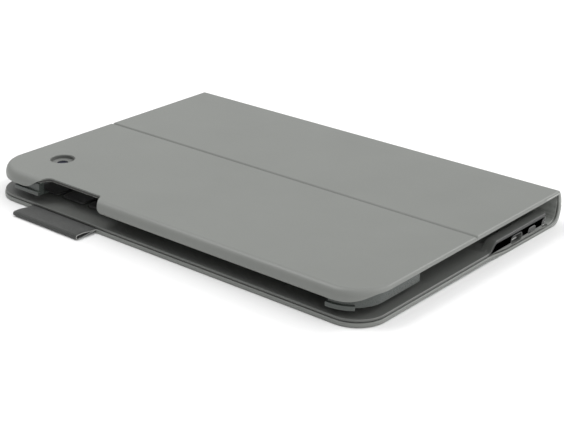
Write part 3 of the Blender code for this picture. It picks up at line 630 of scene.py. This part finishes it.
def lift_corner(mesh):
    """Raises the skirt's lower edge along CLIMB, leaving the rounded front face above it as it is."""
    bm = bmesh.new()
    bm.from_mesh(mesh)
    slice_at(bm, 0, [stop[0] for stop in CLIMB])
    lowest = table(CLIMB)

    def rule(x, y, z):
        low = lowest(x)
        if y < FRONT_Y + 0.0025 and CLIMB[0][0] < x < CLIMB[-1][0] and z < low:
            rise = 1 - min((COVER_TOP - low) / FRONT_ROUND[1], 1.0)
            face = FRONT_Y + FRONT_ROUND[0] * (1 - math.sqrt(1 - rise * rise))
            return x, max(y, face), low - (low - z) * 0.02
        return x, y, z

    reshape(bm, rule)
    bm.to_mesh(mesh)
    bm.free()


def make_top_skin():
    hole = circle(CAMERA, CAMERA_RADIUS, 64)[::-1]
    hole_edge = [(0.0, SKIN_THICKNESS), (0.0, 0.0004), (0.00005, 0.0002), (0.0002, 0.00005),
                 (0.0004, 0.0), (0.0007, 0.0)]
    bm = loops_solid([(cover_outline(SEAM_Y + 0.005), lambda x, y: skin_section(*skin_numbers(y))),
                      (hole, hole_edge)])
    cut_off(bm, SEAM_Y)
    slice_at(bm, 1, GROOVE_YS)

    def rule(x, y, depth):
        shift = groove(x, y) if depth < PANEL / 2 else 0.0
        return x, y, COVER_TOP - depth - shift

    reshape(bm, rule)
    skin = new_object("top_skin", bm)
    boolean(skin, prism("notch_room", notch_plan(), 0.005, 0.020))
    skirt_room = (FRONT_Y - 0.0020, FRONT_Y + 0.0023)
    boolean(skin, prism("corner_room", skirt_cut_right(), *skirt_room, standing=True))
    lift_corner(skin.data)
    settle(skin, SKIN, stands_for=("holder_panel_skin", "rear_panel_skin"), sharp=50)
    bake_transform(skin)


LINING_TOP = 0.0016
LINING_BOTTOM = 0.0021


def lining_section(inset, top, bottom):
    edge = 0.00015
    return [(inset, top), (inset, bottom - edge), (inset + edge / 3, bottom - edge / 3),
            (inset + edge, bottom), (inset + 3 * edge, bottom)]


def make_top_lining():
    hole = circle(CAMERA, CAMERA_RADIUS + 0.0001, 48)[::-1]
    bm = loops_solid([
        (cover_outline(SEAM_Y + 0.005),
         lambda x, y: lining_section(skin_numbers(y)[4] + 0.00015, LINING_TOP, LINING_BOTTOM)),
        (hole, lining_section(0.0, LINING_TOP, LINING_BOTTOM))])
    cut_off(bm, SEAM_Y)
    slice_at(bm, 1, [CREASE_Y + offset for offset in span(-0.0025, 0.0025, 10)])
    reshape(bm, lambda x, y, depth: (x, y, COVER_TOP - depth))
    lining = new_object("top_lining", bm)
    boolean(lining, prism("notch_room", notch_plan(0.0007), 0.005, 0.020))
    settle(lining, LINING, stands_for=("holder_panel_lining", "rear_panel_lining"))
    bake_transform(lining)


# ---------------------------------------------------------------- spine
SPINE_DEPTH = 0.0027
SPINE_SKIN = 0.0009
LAYER_LINE = 0.00125  # the thin line between the layers in the spine's and the base's edges
LAYER_DENT = 0.00028


def sheet_strip(start, end, section, marked=None):
    """A strip across the case between two places along the skin's path."""
    margin = 0.004
    outline = [(-HALF_WIDTH, start - margin), (HALF_WIDTH, start - margin),
               (HALF_WIDTH, end + margin), (-HALF_WIDTH, end + margin)]
    bm = loops_solid([(outline, section)], marked)
    cut_off(bm, end)
    cut_off(bm, start, keep_front=False)
    return bm


def spine_depths(past, fold):
    """Rim depth and skin thickness past the flat face: the rim grows deeper on the spine itself."""
    share = smooth_step(past, fold.turn_length, fold.turn_length + 0.003)
    return mix(PANEL, SPINE_DEPTH, share), mix(SKIN_THICKNESS, SPINE_SKIN, share)


def make_upper_spine():
    fold = TOP_FOLD
    end = fold.start_y + fold.turn_length + fold.spine_length
    places = [fold.start_y + distance for distance in fold.stations()][:-1]

    def follow(x, y, depth):
        past = y - fold.start_y
        rim_depth, skin = spine_depths(past, fold)
        if abs(depth - LAYER_LINE) < 0.00001:
            x -= math.copysign(LAYER_DENT, x) * smooth_step(past, 0.0, fold.turn_length)
        if depth > SKIN_THICKNESS + 0.0001:
            depth *= rim_depth / PANEL
        elif depth > SKIN_THICKNESS - 0.00005:
            depth = skin
        if past <= 0:
            return x, y, COVER_TOP - depth
        return (x, *fold.point(past, depth))

    numbers = (*SIDE_ROUND, PANEL, RIM_WIDTH, RIM_WIDTH + 0.00002)
    # the layer line's faces take the lighter skin, a painted highlight
    bm = sheet_strip(SEAM_Y, end, skin_section(*numbers, layered=True), marked=(13, 15))
    slice_at(bm, 1, places)
    reshape(bm, follow)
    skin = settle(new_object("upper_spine_skin", bm), [SKIN, LAYER_HIGHLIGHT], sharp=50)
    fold_end = world(*fold.point(fold.turn_length + 0.0012, 0.0))
    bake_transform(skin)

    def lining_follow(x, y, depth):
        past = y - fold.start_y
        if past <= 0:
            return x, y, COVER_TOP - depth
        share = smooth_step(past, fold.turn_length * 0.6, fold.turn_length + 0.004)
        return (x, *fold.point(past, depth + share * (SPINE_DEPTH - PANEL + 0.0001)))

    inset = RIM_WIDTH + 0.00017
    bm = sheet_strip(SEAM_Y, end, lining_section(inset, LINING_TOP, LINING_BOTTOM))
    slice_at(bm, 1, places)
    reshape(bm, lining_follow)
    lining = settle(new_object("upper_spine_lining", bm), LINING)
    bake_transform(lining)


# ---------------------------------------------------------------- base skin
BASE_WALL = 0.0040
BASE_LOW_ROUND = 0.0006
BASE_HIGH_ROUND = 0.0004
PORT_EDGE = 0.0015  # the base skin's edge is lower under the port panel


def base_section(_, y):
    """Heights run up from the outer surface: outside face, edge, rim top, pocket wall, pocket floor."""
    past = y - HEEL_FOLD.start_y
    share = smooth_step(past, -0.0045, HEEL_FOLD.turn_length * 0.7)
    height = mix(mix(BASE_EDGE, PORT_EDGE, smooth_step(y, *STEP_Y)), SPINE_DEPTH, share)
    wall = mix(BASE_WALL, RIM_WIDTH, share)
    floor = mix(BASE_FLOOR, SPINE_SKIN, share)
    line = mix(0.00085, LAYER_LINE, share)
    dent = LAYER_DENT * smooth_step(y, FRONT_Y + 0.01, FRONT_Y + 0.05)
    section = [(BASE_LOW_ROUND + 0.0003, 0.0)] + quarter(BASE_LOW_ROUND, BASE_LOW_ROUND, 90, 0, 5)
    section += [(0.0, line - 0.00012), (dent, line), (0.0, line + 0.00012)]
    section += [(inset, height - fall) for inset, fall in quarter(BASE_HIGH_ROUND, BASE_HIGH_ROUND, 0, 90, 4)]
    return section + [(wall - 0.0001, height), (wall, height - 0.0001), (wall, floor)]


def base_follow(x, y, height):
    fold = HEEL_FOLD
    if y <= fold.start_y:
        return x, y, underside(y) + height
    return (x, *fold.point(y - fold.start_y, height))


def make_base_skin():
    fold = HEEL_FOLD
    end = fold.start_y + fold.turn_length + fold.spine_length
    outline = front_corners(BASE_CORNER, 20)
    rear = span(FRONT_Y + 0.015, FRONT_Y + 0.05, 6) + span(*STEP_Y, 12)
    rear += [fold.start_y + offset for offset in span(-0.0045, fold.turn_length, 8)] + [end + 0.004]
    outline += [(HALF_WIDTH, y) for y in rear]
    outline += [(-HALF_WIDTH, y) for y in reversed(rear)]
    # the layer line's faces take the lighter skin as a painted highlight, kept only round the spine behind
    # the heel
    bm = loops_solid([(outline, base_section)], marked=(7, 9))
    for face in bm.faces:
        if face.calc_center_median().y < fold.start_y - 0.002:
            face.material_index = 0
    cut_off(bm, end)
    slice_at(bm, 1, span(*STEP_Y, 16) + [fold.start_y + distance for distance in fold.stations()][:-1])
    reshape(bm, base_follow)
    fold_start = world(*fold.point(0.0015, 0.0))
    fold_end = world(*fold.point(fold.turn_length + 0.0012, 0.0))
    skin = new_object("base_skin", bm)
    boolean(skin, box("tab_room", (TAB_X[0] - 0.0005, TAB_X[1] + 0.0005), (FRONT_Y - 0.01, FRONT_Y + 0.0014),
                      (0.00195, 0.01)))
    settle(skin, [SKIN, LAYER_HIGHLIGHT], stands_for=("base_cover", "spine_skin"), sharp=50)
    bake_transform(skin)

    lining_start = HOUSING_REAR_Y + 0.0009
    depths = (SPINE_DEPTH - 0.0004, SPINE_DEPTH + 0.0001)

    def follow(x, y, height):
        low = smooth_step(y, lining_start, lining_start + 0.005)
        return base_follow(x, y, height - (1 - low) * 0.0008)

    bm = sheet_strip(lining_start, end, lining_section(0.0011, *depths))
    slice_at(bm, 1, span(lining_start, fold.start_y, 6)[1:-1]
             + [fold.start_y + distance for distance in fold.stations()][:-1])
    reshape(bm, follow)
    lining = settle(new_object("lower_spine_lining", bm), LINING,
                    stands_for=("spine_lining",))
    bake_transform(lining)


# ---------------------------------------------------------------- keys
KEY_PITCH = (0.0165, 0.0144)
KEY_GAP = 0.0024
KEY_LEFT_X = -11 * KEY_PITCH[0] / 2
KEY_REAR_Y = 0.0122
KEY_BOTTOM = 0.00435
KEY_TOP = 0.0053
LETTER_ROWS = (("qwertyuiop", 0.0, 1), ("asdfghjkl", 0.5, 2), ("zxcvbnm", 1.0, 3))


def key_plan(first, last, row):
    left = KEY_LEFT_X + first * KEY_PITCH[0] + KEY_GAP / 2
    right = KEY_LEFT_X + last * KEY_PITCH[0] - KEY_GAP / 2
    rear = KEY_REAR_Y - row * KEY_PITCH[1] - KEY_GAP / 2
    front = KEY_REAR_Y - (row + 1) * KEY_PITCH[1] + KEY_GAP / 2
    return (left, right), (front, rear)


KEYS = {"key_" + letter: [(first + index, first + index + 1, row, letter.upper())]
        for letters, first, row in LETTER_ROWS for index, letter in enumerate(letters)}
KEYS["space_key"] = [(4, 8, 4, "")]
KEYS["number_keys"] = [(column, column + 1, 0, "1234567890-"[column]) for column in range(11)]
KEYS["left_side_keys"] = [(0, 0.5, 2, ""), (0, 1, 3, "^")]
KEYS["right_side_keys"] = [(10, 11, 1, "<"), (9.5, 11, 2, ""), (10, 11, 3, "^"), (9, 10, 3, "."),
                           (8, 9, 3, ",")]
KEYS["bottom_left_keys"] = [(column, column + 1, 4, "") for column in range(4)]
KEYS["bottom_right_keys"] = [(column, column + 1, 4, "'/="[column - 8]) for column in range(8, 11)]


KEY_HEIGHT = KEY_TOP - KEY_BOTTOM
KEY_CORNER = 0.0018
# a rounded edge and a shallow dish, whose inset stays inside the corner's radius
KEY_SECTION = [(0.0002, 0.0), (0.0, 0.0002), (0.00012, KEY_HEIGHT - 0.0004), (0.00022, KEY_HEIGHT - 0.00018),
               (0.00042, KEY_HEIGHT - 0.00004), (0.0007, KEY_HEIGHT), (0.0012, KEY_HEIGHT - 0.00003),
               (0.0016, KEY_HEIGHT - 0.00005)]
LEGEND_SIZE = 0.0052


def take_in(bm, mesh):
    bm.from_mesh(mesh)
    bpy.data.meshes.remove(mesh)


def add_legend(bm, text, centre):
    """Adds a plain legend: a thin flat sign that lies just above the key's dish."""
    curve = bpy.data.curves.new("legend", "FONT")
    curve.body = text
    curve.size = LEGEND_SIZE
    curve.align_x = "CENTER"
    curve.align_y = "CENTER"
    curve.extrude = 0.00001
    curve.resolution_u = 2
    sign = bpy.data.objects.new("legend", curve)
    bpy.context.scene.collection.objects.link(sign)
    depsgraph = bpy.context.evaluated_depsgraph_get()
    mesh = bpy.data.meshes.new_from_object(sign.evaluated_get(depsgraph))
    mesh.transform(Matrix.Translation((*centre, KEY_HEIGHT - 0.00003)))
    bpy.data.objects.remove(sign, do_unlink=True)
    start = len(bm.faces)
    take_in(bm, mesh)
    bm.faces.ensure_lookup_table()
    for face in bm.faces[start:]:
        face.material_index = 1


def make_keys():
    for name, places in KEYS.items():
        merged = bmesh.new()
        for first, last, row, text in places:
            x_range, y_range = key_plan(first, last, row)
            corner = min(KEY_CORNER, (x_range[1] - x_range[0]) / 3)
            cap = loops_solid([(rounded_rectangle(x_range, y_range, corner, corner, 5), KEY_SECTION)])
            mesh = bpy.data.meshes.new("cap")
            cap.to_mesh(mesh)
            cap.free()
            take_in(merged, mesh)
            if text:
                add_legend(merged, text, (sum(x_range) / 2, sum(y_range) / 2))
        reshape(merged, lambda x, y, z: (x, y, z + KEY_BOTTOM))
        mesh = bpy.data.meshes.new(name + "_cap")
        merged.to_mesh(mesh)
        merged.free()
        obj = bpy.data.objects.new(name + "_cap", mesh)
        bpy.context.scene.collection.objects.link(obj)
        settle(obj, [KEY, LEGEND], name + "_body", (name,), 40)


# ---------------------------------------------------------------- keyboard deck
# the deck's top and underside: stops of Y and height, over the bay and down into the stand slot
DECK_STOPS = [(RISE_Y[0], DECK_TOP), (0.0195, BAY_FLOOR), (0.0249, BAY_FLOOR), (0.0252, SLOT_FLOOR + 0.0001),
              (0.0256, SLOT_FLOOR), (0.0335, SLOT_FLOOR), (0.0338, SLOT_FLOOR + 0.0001),
              (0.0341, BAY_FLOOR)]
DECK_FLOOR_STOPS = [(0.0200, DECK_BOTTOM), (0.0212, 0.0045), (0.0356, 0.0045), (0.0358, 0.00555)]
DECK_CHAMFER = 0.00024
KEY_HOLE_GAP = 0.00035


def make_deck():
    deck_top = table(DECK_STOPS)
    deck_floor = table(DECK_FLOOR_STOPS)
    nominal = DECK_TOP - DECK_BOTTOM
    edge = HALF_WIDTH - DECK_INSET
    corner = BASE_CORNER - DECK_INSET
    plan = rounded_rectangle((-edge, edge), (FRONT_Y + DECK_INSET, HOUSING_REAR_Y), corner,
                             HOUSING_CORNER, 16)
    wall_x = PANEL_X[0]
    plan = [(x, y) for x, y in plan if y < 0.02]
    plan += [(edge, RISE_Y[0]), (wall_x, RISE_Y[0] + 0.0001), (wall_x, HOUSING_REAR_Y - 0.002)]
    plan += arc((wall_x - 0.002, HOUSING_REAR_Y - 0.002), 0.002, 0, 90, 6)[1:]
    plan += arc((-wall_x + 0.002, HOUSING_REAR_Y - 0.002), 0.002, 90, 180, 6)
    plan += [(-wall_x, RISE_Y[0] + 0.0001), (-edge, RISE_Y[0])]
    front_left = arc((-edge + BASE_CORNER - DECK_INSET, FRONT_Y + BASE_CORNER), corner, 180, 270, 16)
    start = plan.index(front_left[0])
    plan = plan[start:] + plan[:start]

    rim_section = [(0.0004, 0.0), (0.0, 0.0003), (0.0, nominal - DECK_CHAMFER),
                   (DECK_CHAMFER * 0.8, nominal), (0.0009, nominal)]
    hole_section = [(0.0, 0.0), (0.0, nominal - 0.00015), (0.00005, nominal - 0.00004), (0.00015, nominal),
                    (0.0003, nominal)]
    loops = [(plan, rim_section)]
    for places in KEYS.values():
        for first, last, row, _ in places:
            (left, right), (front, rear) = key_plan(first, last, row)
            corner = min(0.0020, (right - left) / 3)
            hole = rounded_rectangle((left - KEY_HOLE_GAP, right + KEY_HOLE_GAP),
                                     (front - KEY_HOLE_GAP, rear + KEY_HOLE_GAP), corner, corner, 4)
            loops.append((hole[::-1], hole_section))
    # the rim's chamfer faces take the lighter edge material, a painted highlight
    bm = loops_solid(loops, marked=(2, 3))
    slice_at(bm, 1, [stop[0] for stop in DECK_STOPS + DECK_FLOOR_STOPS] + span(RISE_Y[0], 0.0195, 4)[1:-1])

    def rule(x, y, z):
        if z < 0.00035:
            return x, y, deck_floor(y) + z
        return x, y, deck_top(y) - (nominal - z)

    reshape(bm, rule)
    settle(new_object("deck_plate", bm), [DECK, DECK_CHAMFER_HIGHLIGHT], "keyboard_base",
           ("top_deck",), 30)


PANEL_LID = 0.00095


def panel_top(y):
    """Top of the light end panel, which runs down a little to the rear under the dark lid, whose near-black
    colour is painted shade.
    """
    return end_top(y) - PANEL_LID - 0.0075 * max(y - RISE_Y[1], 0.0)


def make_end_wall(name, sign):
    """A raised end of the rear housing: dark, with its rear outer corner rounded in plan. Its outward face is
    near-black, painted shade under the cover's rim.
    """
    low, high = WALL_X
    base = DECK_TOP - 0.0009
    corner = HOUSING_CORNER
    plan = [(low, RISE_Y[0] - 0.0004), (high, RISE_Y[0] - 0.0004)]
    plan += [(high, y) for y in span(RISE_Y[0], HOUSING_REAR_Y - corner, 4)[:-1]]
    plan += arc((high - corner, HOUSING_REAR_Y - corner), corner, 0, 90, 14)
    plan += arc((low + 0.0007, HOUSING_REAR_Y - 0.0007), 0.0007, 90, 180, 4)
    bm = loops_solid([(plan, rim(WALL_TOP - base, 0.0001, 0.0006, 5))])
    slice_at(bm, 1, span(RISE_Y[0] - 0.0003, RISE_Y[1], 14))

    def rule(x, y, z):
        return sign * x, y, base + z * (end_top(y) - base) / (WALL_TOP - base)

    reshape(bm, rule)
    wall = new_object(name, bm)
    room = [(RISE_Y[0] - 0.001, 0.0), (HOUSING_REAR_Y + 0.005, 0.0)]
    room += [(y, panel_top(y)) for y in [HOUSING_REAR_Y + 0.005] + span(RISE_Y[1], RISE_Y[0] + 0.0001, 10)]
    room += [(RISE_Y[0] - 0.001, DECK_TOP - PANEL_LID)]
    reach = sorted((sign * 0.10345, sign * 0.12))
    bm = loops_solid([(room, [(0, reach[0]), (0, reach[1])])])
    reshape(bm, stood_up)
    boolean(wall, new_object("panel_room", bm))
    if sign > 0:
        boolean(wall, box("socket_room", (0.0990, 0.12), (USB_Y - 0.0041, USB_Y + 0.0041),
                          (PORT_Z - 0.0016, PORT_Z + 0.0016)))
    # faces turned outward get the near-black lid colour, painted shade under the cover's rim
    for polygon in wall.data.polygons:
        polygon.material_index = int(polygon.normal.x * sign > 0.5)
    settle(wall, [DECK, SHADED_LID], "keyboard_base")


def panel_plan():
    start = RISE_Y[0] + 0.0003
    end = HOUSING_REAR_Y - 0.0007
    places = [start] + [y for y in span(*STEP_Y, 16) if y > start + 0.0005] + [end]
    low = [(y, underside(y) + mix(BASE_EDGE, PORT_EDGE, smooth_step(y, *STEP_Y)) + 0.00042) for y in places]
    high = [(y, panel_top(y)) for y in [end] + span(RISE_Y[1], start + 0.0004, 12)]
    return low + high + [(start, panel_top(start) - 0.0002)]


def make_end_panel(name, sign, node, holes=()):
    thickness = PANEL_X[1] - PANEL_X[0]
    loops = [(panel_plan(), rim(thickness, 0.0001, 0.00022, 3))]
    loops += [(hole[::-1], rim(thickness, 0.00005, rounding, 4)) for hole, rounding in holes]
    bm = loops_solid(loops)
    corner_y = HOUSING_REAR_Y - HOUSING_CORNER
    slice_at(bm, 0, span(corner_y, HOUSING_REAR_Y - 0.0008, 8))

    def rule(y, z, height):
        x = PANEL_X[0] + height
        if y > corner_y:
            drop = HOUSING_CORNER - math.sqrt(max(HOUSING_CORNER ** 2 - (y - corner_y) ** 2, 0))
            x = max(min(x, PANEL_X[1] - drop), PANEL_X[0] + 0.02 * height)
        return sign * x, y, z

    reshape(bm, rule)
    settle(new_object(name, bm), END, "keyboard_base", (node,))


def side_piece(name, loops, low, material, body="keyboard_base", stands_for=()):
    """A piece of the port panel: loops drawn in Y and Z, with their height along X from low."""
    bm = loops_solid(loops)
    reshape(bm, lambda y, z, height: (low + height, y, z))
    return settle(new_object(name, bm), material, body, stands_for)


def make_ports():
    usb = pill((USB_Y, PORT_Z), 0.0087, 0.0037)
    switch = pill((SWITCH_Y, PORT_Z), 0.0058, 0.0026)
    button = circle(BUTTON, 0.00185, 40)
    light = circle((BUTTON[0], LIGHT_Z), 0.00047, 20)
    make_end_panel("port_plate", 1, "port_panel",
                   ((usb, 0.00035), (switch, 0.0003), (button, 0.0002), (light, 0.00012)))
    make_end_panel("end_plate", -1, "end_cap")

    # the socket: a folded shell with a plastic tongue, in a dark surround
    half, tall, slope, depth = 0.0037, 0.00120, 0.0008, 0.0027
    shell = [(USB_Y - half + slope, PORT_Z - tall), (USB_Y + half - slope, PORT_Z - tall),
             (USB_Y + half, PORT_Z - tall + slope), (USB_Y + half, PORT_Z + tall),
             (USB_Y - half, PORT_Z + tall), (USB_Y - half, PORT_Z - tall + slope)]
    inner = [(y - ny * 0.00025, z - nz * 0.00025) for y, z, ny, nz in outward(shell)]
    side_piece("socket_shell", [(shell, rim(depth, 0.00005, 0.0001, 2)),
                                (inner[::-1], rim(depth, 0.00002, 0.00008, 2))],
               0.1011, SOCKET, stands_for=("usb_socket",))
    surround = pill((USB_Y, PORT_Z), 0.0095, 0.0045)
    plain = [(0, 0), (0, 0.0004)]
    side_piece("socket_surround", [(surround, plain), (shell[::-1], plain)], 0.1031, KEY)
    tongue = box("socket_tongue", (0.1012, 0.1043), (USB_Y - 0.0020, USB_Y + 0.0020),
                 (PORT_Z - 0.00085, PORT_Z - 0.00010))
    round_edges(tongue, 0.0001, 2)
    settle(tongue, BUTTON_PLASTIC, "keyboard_base")

    knob_low, knob_high = level_box("power_switch_knob")
    knob = box("switch_knob", *zip(knob_low, knob_high))
    for index in range(3):
        y = mix(knob_low.y, knob_high.y, (index + 1) / 4)
        boolean(knob, box("ridge_cut", (knob_high.x - 0.00018, 0.12), (y - 0.00012, y + 0.00012), (0, 0.01)))
    round_edges(knob, 0.00009, 2, 50)
    settle(knob, BUTTON_PLASTIC, "power_switch", ("power_switch_knob",))

    dome = [(0.0001, 0.0), (0.0, 0.0001), (0.0, 0.00100), (0.00008, 0.00115), (0.0003, 0.00124),
            (0.0007, 0.00129), (0.0011, 0.00131)]
    side_piece("button_cap", [(circle(BUTTON, 0.00140, 40), dome)], 0.1042, BUTTON_PLASTIC,
               "connect_button", ("connect_button",))
    lens = [(0.00003, 0.0), (0.0, 0.00003), (0.0, 0.0009), (0.00006, 0.00100), (0.0002, 0.00105)]
    side_piece("light_window", [(circle((BUTTON[0], LIGHT_Z), 0.00043, 20), lens)], 0.1042, LENS,
               stands_for=("status_light",))


# ---------------------------------------------------------------- corner clips, camera well, pull tab
def band(front_end_x, outer, inner, side_end_y=None, end_degrees=0):
    """Plan of a band round the tablet's corner, from the front edge to the side."""
    centre_x, centre_y = CLIP_CENTRE
    steps = 18
    points = [(front_end_x, centre_y - outer)] + arc(CLIP_CENTRE, outer, -90, end_degrees, steps)
    if side_end_y is not None:
        points += [(centre_x + outer, side_end_y), (centre_x + inner, side_end_y)]
    return points + arc(CLIP_CENTRE, inner, end_degrees, -90, steps) + [(front_end_x, centre_y - inner)]


def clip_solid(name, points, low, high, sign):
    bm = loops_solid([(points, [(0, low), (0, high)])])
    reshape(bm, lambda x, y, z: (sign * x, y, z))
    return new_object(name, bm)


def make_clip(name, node, sign, end_x, wall_low, lip_low, lip_high, lip_end):
    top = COVER_TOP - PANEL - 0.00015
    clip = clip_solid(name, band(end_x, 0.0144, 0.0113, -0.0313), wall_low, top, sign)
    tip = end_x - 0.0006
    for part, outer, inner, high in (("lip", 0.0156, 0.0120, lip_high),
                                     ("hook", 0.0126, 0.0094, lip_low + 0.0006)):
        plan = band(tip, outer, inner, end_degrees=lip_end)
        boolean(clip, clip_solid(part, plan, lip_low, high, sign), "UNION")
    round_edges(clip, 0.00030, 4, 50)
    settle(clip, CLIP, "holder_panel", (node,))


def make_camera_well():
    under = COVER_TOP - PANEL

    def part(name, low, loops, material, slot, stands_for=()):
        bm = loops_solid(loops)
        reshape(bm, lambda x, y, z: (x, y, z + low))
        settle(new_object(name, bm), material, "holder_panel", stands_for)

    ring = circle(CAMERA, CAMERA_RADIUS - 0.0004, 56)
    part("camera_plate", under, [(ring, rim(0.0004, 0.00005, 0.00005, 2)),
                                 (circle(CAMERA, 0.0025, 40)[::-1], rim(0.0004, 0.00005, 0.00015, 3))],
         FLOOR_PLATE, "end_plastic", ("camera_window_ring",))
    part("camera_pane", under - 0.00013, [(circle(CAMERA, 0.0040, 40), [(0, 0), (0, 0.00012)])],
         GLASS, "light_lens")
    wall = [(0, 0), (0, 0.0017)]
    part("camera_well_wall", under, [(circle(CAMERA, CAMERA_RADIUS - 0.00005, 56), wall), (ring[::-1], wall)],
         DECK, "stiff_board")


def make_pull_tab():
    thickness = 0.00036
    half = thickness / 2
    root, tip = (-0.0702, 0.00255), (-0.08148, 0.00248)
    fold = 0.00112 - half
    drop = math.degrees(math.asin(0.12))
    upper = [(root[0], root[1] + half), (-0.0725, root[1] + half + 0.00002),
             (-0.0742, root[1] + half + 0.00012),
             (-0.0760, root[1] + 0.00055), (-0.0782, root[1] + 0.00083)]
    lower = [(y, 2 * root[1] - z) for y, z in upper]
    centre = upper + arc(tip, fold, 90 - drop, 270 + drop, 16) + lower[::-1]
    left, right = [], []
    for index, point in enumerate(centre):
        before = Vector(centre[max(index - 1, 0)])
        after = Vector(centre[min(index + 1, len(centre) - 1)])
        along = (after - before).normalized()
        side = Vector((along.y, -along.x)) * (half - 0.00001)
        left.append(tuple(Vector(point) + side))
        right.append(tuple(Vector(point) - side))
    outline = right + left[::-1]
    if sum(a[0] * b[1] - b[0] * a[1] for a, b in zip(outline, outline[1:] + outline[:1])) < 0:
        outline.reverse()
    width = TAB_X[1] - TAB_X[0]
    bm = loops_solid([(outline, rim(width, 0.00008, 0.00008, 2))])
    slice_at(bm, 2, span(0.003, width - 0.003, 12))
    reshape(bm, lambda y, z, height: (TAB_X[0] + height, y, z))
    bm.normal_update()
    for face in bm.faces:
        face.material_index = int(abs(face.normal.x) > 0.3)
    tab = settle(new_object("tab_loop", bm), [TAB, TAB_CUT], stands_for=("pull_tab",),
                 sharp=60)
    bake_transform(tab)


# ---------------------------------------------------------------- carried-over CAD nodes
def dress_inner_parts():
    looks = {"spine_board": BOARD, "rear_panel_board": BOARD, "holder_panel_board": BOARD,
             "bottom_housing": END, "key_backplate": SHEET, "keyboard_membrane": FILM,
             "battery_cell": FOIL, "main_board": CIRCUIT, "dock_magnet": STEEL, "closing_magnet": STEEL}
    for node, material in looks.items():
        for slot in frame["nodes"][node].material_slots:
            slot.material = material


# ---------------------------------------------------------------- stage
def make_stage():
    material, nodes, links, shader = node_material("studio_floor")
    vector = coordinates(nodes)
    tone = noise(nodes, links, vector, 6.0, 2.0)
    links.new(ramp(nodes, links, tone, ((0.3, (0.86, 0.86, 0.86)), (0.7, (0.88, 0.88, 0.88)))),
              shader.inputs["Base Color"])
    shader.inputs["Roughness"].default_value = 0.75
    bm = bmesh.new()
    bmesh.ops.create_grid(bm, x_segments=1, y_segments=1, size=4.0)
    floor = new_object("floor", bm)
    floor.data.materials.append(material)


def area_light(name, place, target, size, power):
    light = bpy.data.lights.new(name, "AREA")
    light.shape = "RECTANGLE"
    light.size = light.size_y = size
    light.energy = power
    obj = bpy.data.objects.new(name, light)
    obj.location = place
    obj.rotation_euler = (Vector(target) - Vector(place)).to_track_quat("-Z", "Y").to_euler()
    bpy.context.scene.collection.objects.link(obj)


def make_light():
    """A bright studio: white overhead and to the right, dimmer to the front, left and rear, with a soft lamp
    over the left and another behind to the right."""
    scene = bpy.context.scene
    studio = bpy.data.worlds.new("studio")
    studio.use_nodes = True
    nodes, links = studio.node_tree.nodes, studio.node_tree.links
    sky = nodes["Background"]
    axes = add_node(nodes, "SeparateXYZ")
    links.new(add_node(nodes, "TexCoord").outputs["Generated"], axes.inputs["Vector"])
    overhead = add_node(nodes, "Math", {1: 0.62, 2: 0.40}, operation="MULTIPLY_ADD")
    links.new(axes.outputs["Z"], overhead.inputs[0])
    rightward = value_range(nodes, links, axes.outputs["X"], 0.0, 1.05, 0.1, 0.9)
    frontward = value_range(nodes, links, axes.outputs["Y"], -0.36, 0.0, -0.9, -0.1)
    sides, total = add_node(nodes, "Math"), add_node(nodes, "Math")
    links.new(rightward, sides.inputs[0])
    links.new(frontward, sides.inputs[1])
    links.new(sides.outputs[0], total.inputs[0])
    links.new(overhead.outputs[0], total.inputs[1])
    links.new(total.outputs[0], sky.inputs["Strength"])
    sky.inputs["Color"].default_value = (1.0, 1.0, 1.0, 1)
    scene.world = studio
    area_light("top_left_light", (-0.30, -0.18, 0.66), (0, -0.05, 0), 0.30, 2.0)
    area_light("rear_right_light", (0.60, 1.00, 0.85), (0.05, 0, 0), 0.45, 6.5)
    scene.view_settings.view_transform = "Standard"


# the camera in the level frame: where it stands, where it looks, and which way is up
CAMERA_PLACE = (0.3775, -0.44614, 0.24348)
CAMERA_AHEAD = (-0.58942, 0.70980, -0.38570)
CAMERA_UP = (-0.25412, 0.29030, 0.92258)
LENS_MM = 89.77


def make_camera():
    data = bpy.data.cameras.new("camera")
    data.sensor_width = 36.0
    data.lens = LENS_MM
    camera = bpy.data.objects.new("camera", data)
    ahead = Vector(CAMERA_AHEAD).normalized()
    side = ahead.cross(Vector(CAMERA_UP)).normalized()
    turn = Matrix((side, side.cross(ahead), -ahead)).transposed()
    camera.matrix_world = LEVEL @ Matrix.Translation(CAMERA_PLACE) @ turn.to_4x4()
    bpy.context.scene.collection.objects.link(camera)
    bpy.context.scene.camera = camera


make_camera()
make_light()
make_stage()
make_top_skin()
make_top_lining()
make_upper_spine()
make_base_skin()
make_keys()
make_deck()
make_end_wall("housing_end_right", 1)
make_end_wall("housing_end_left", -1)
make_ports()
make_clip("right_clip", "corner_clip_right", 1, 0.0880, 0.0079, 0.00725, 0.00910, -49)
make_clip("left_clip", "corner_clip_left", -1, 0.0750, 0.0098, 0.00840, 0.01005, -84)
make_camera_well()
make_pull_tab()
dress_inner_parts()
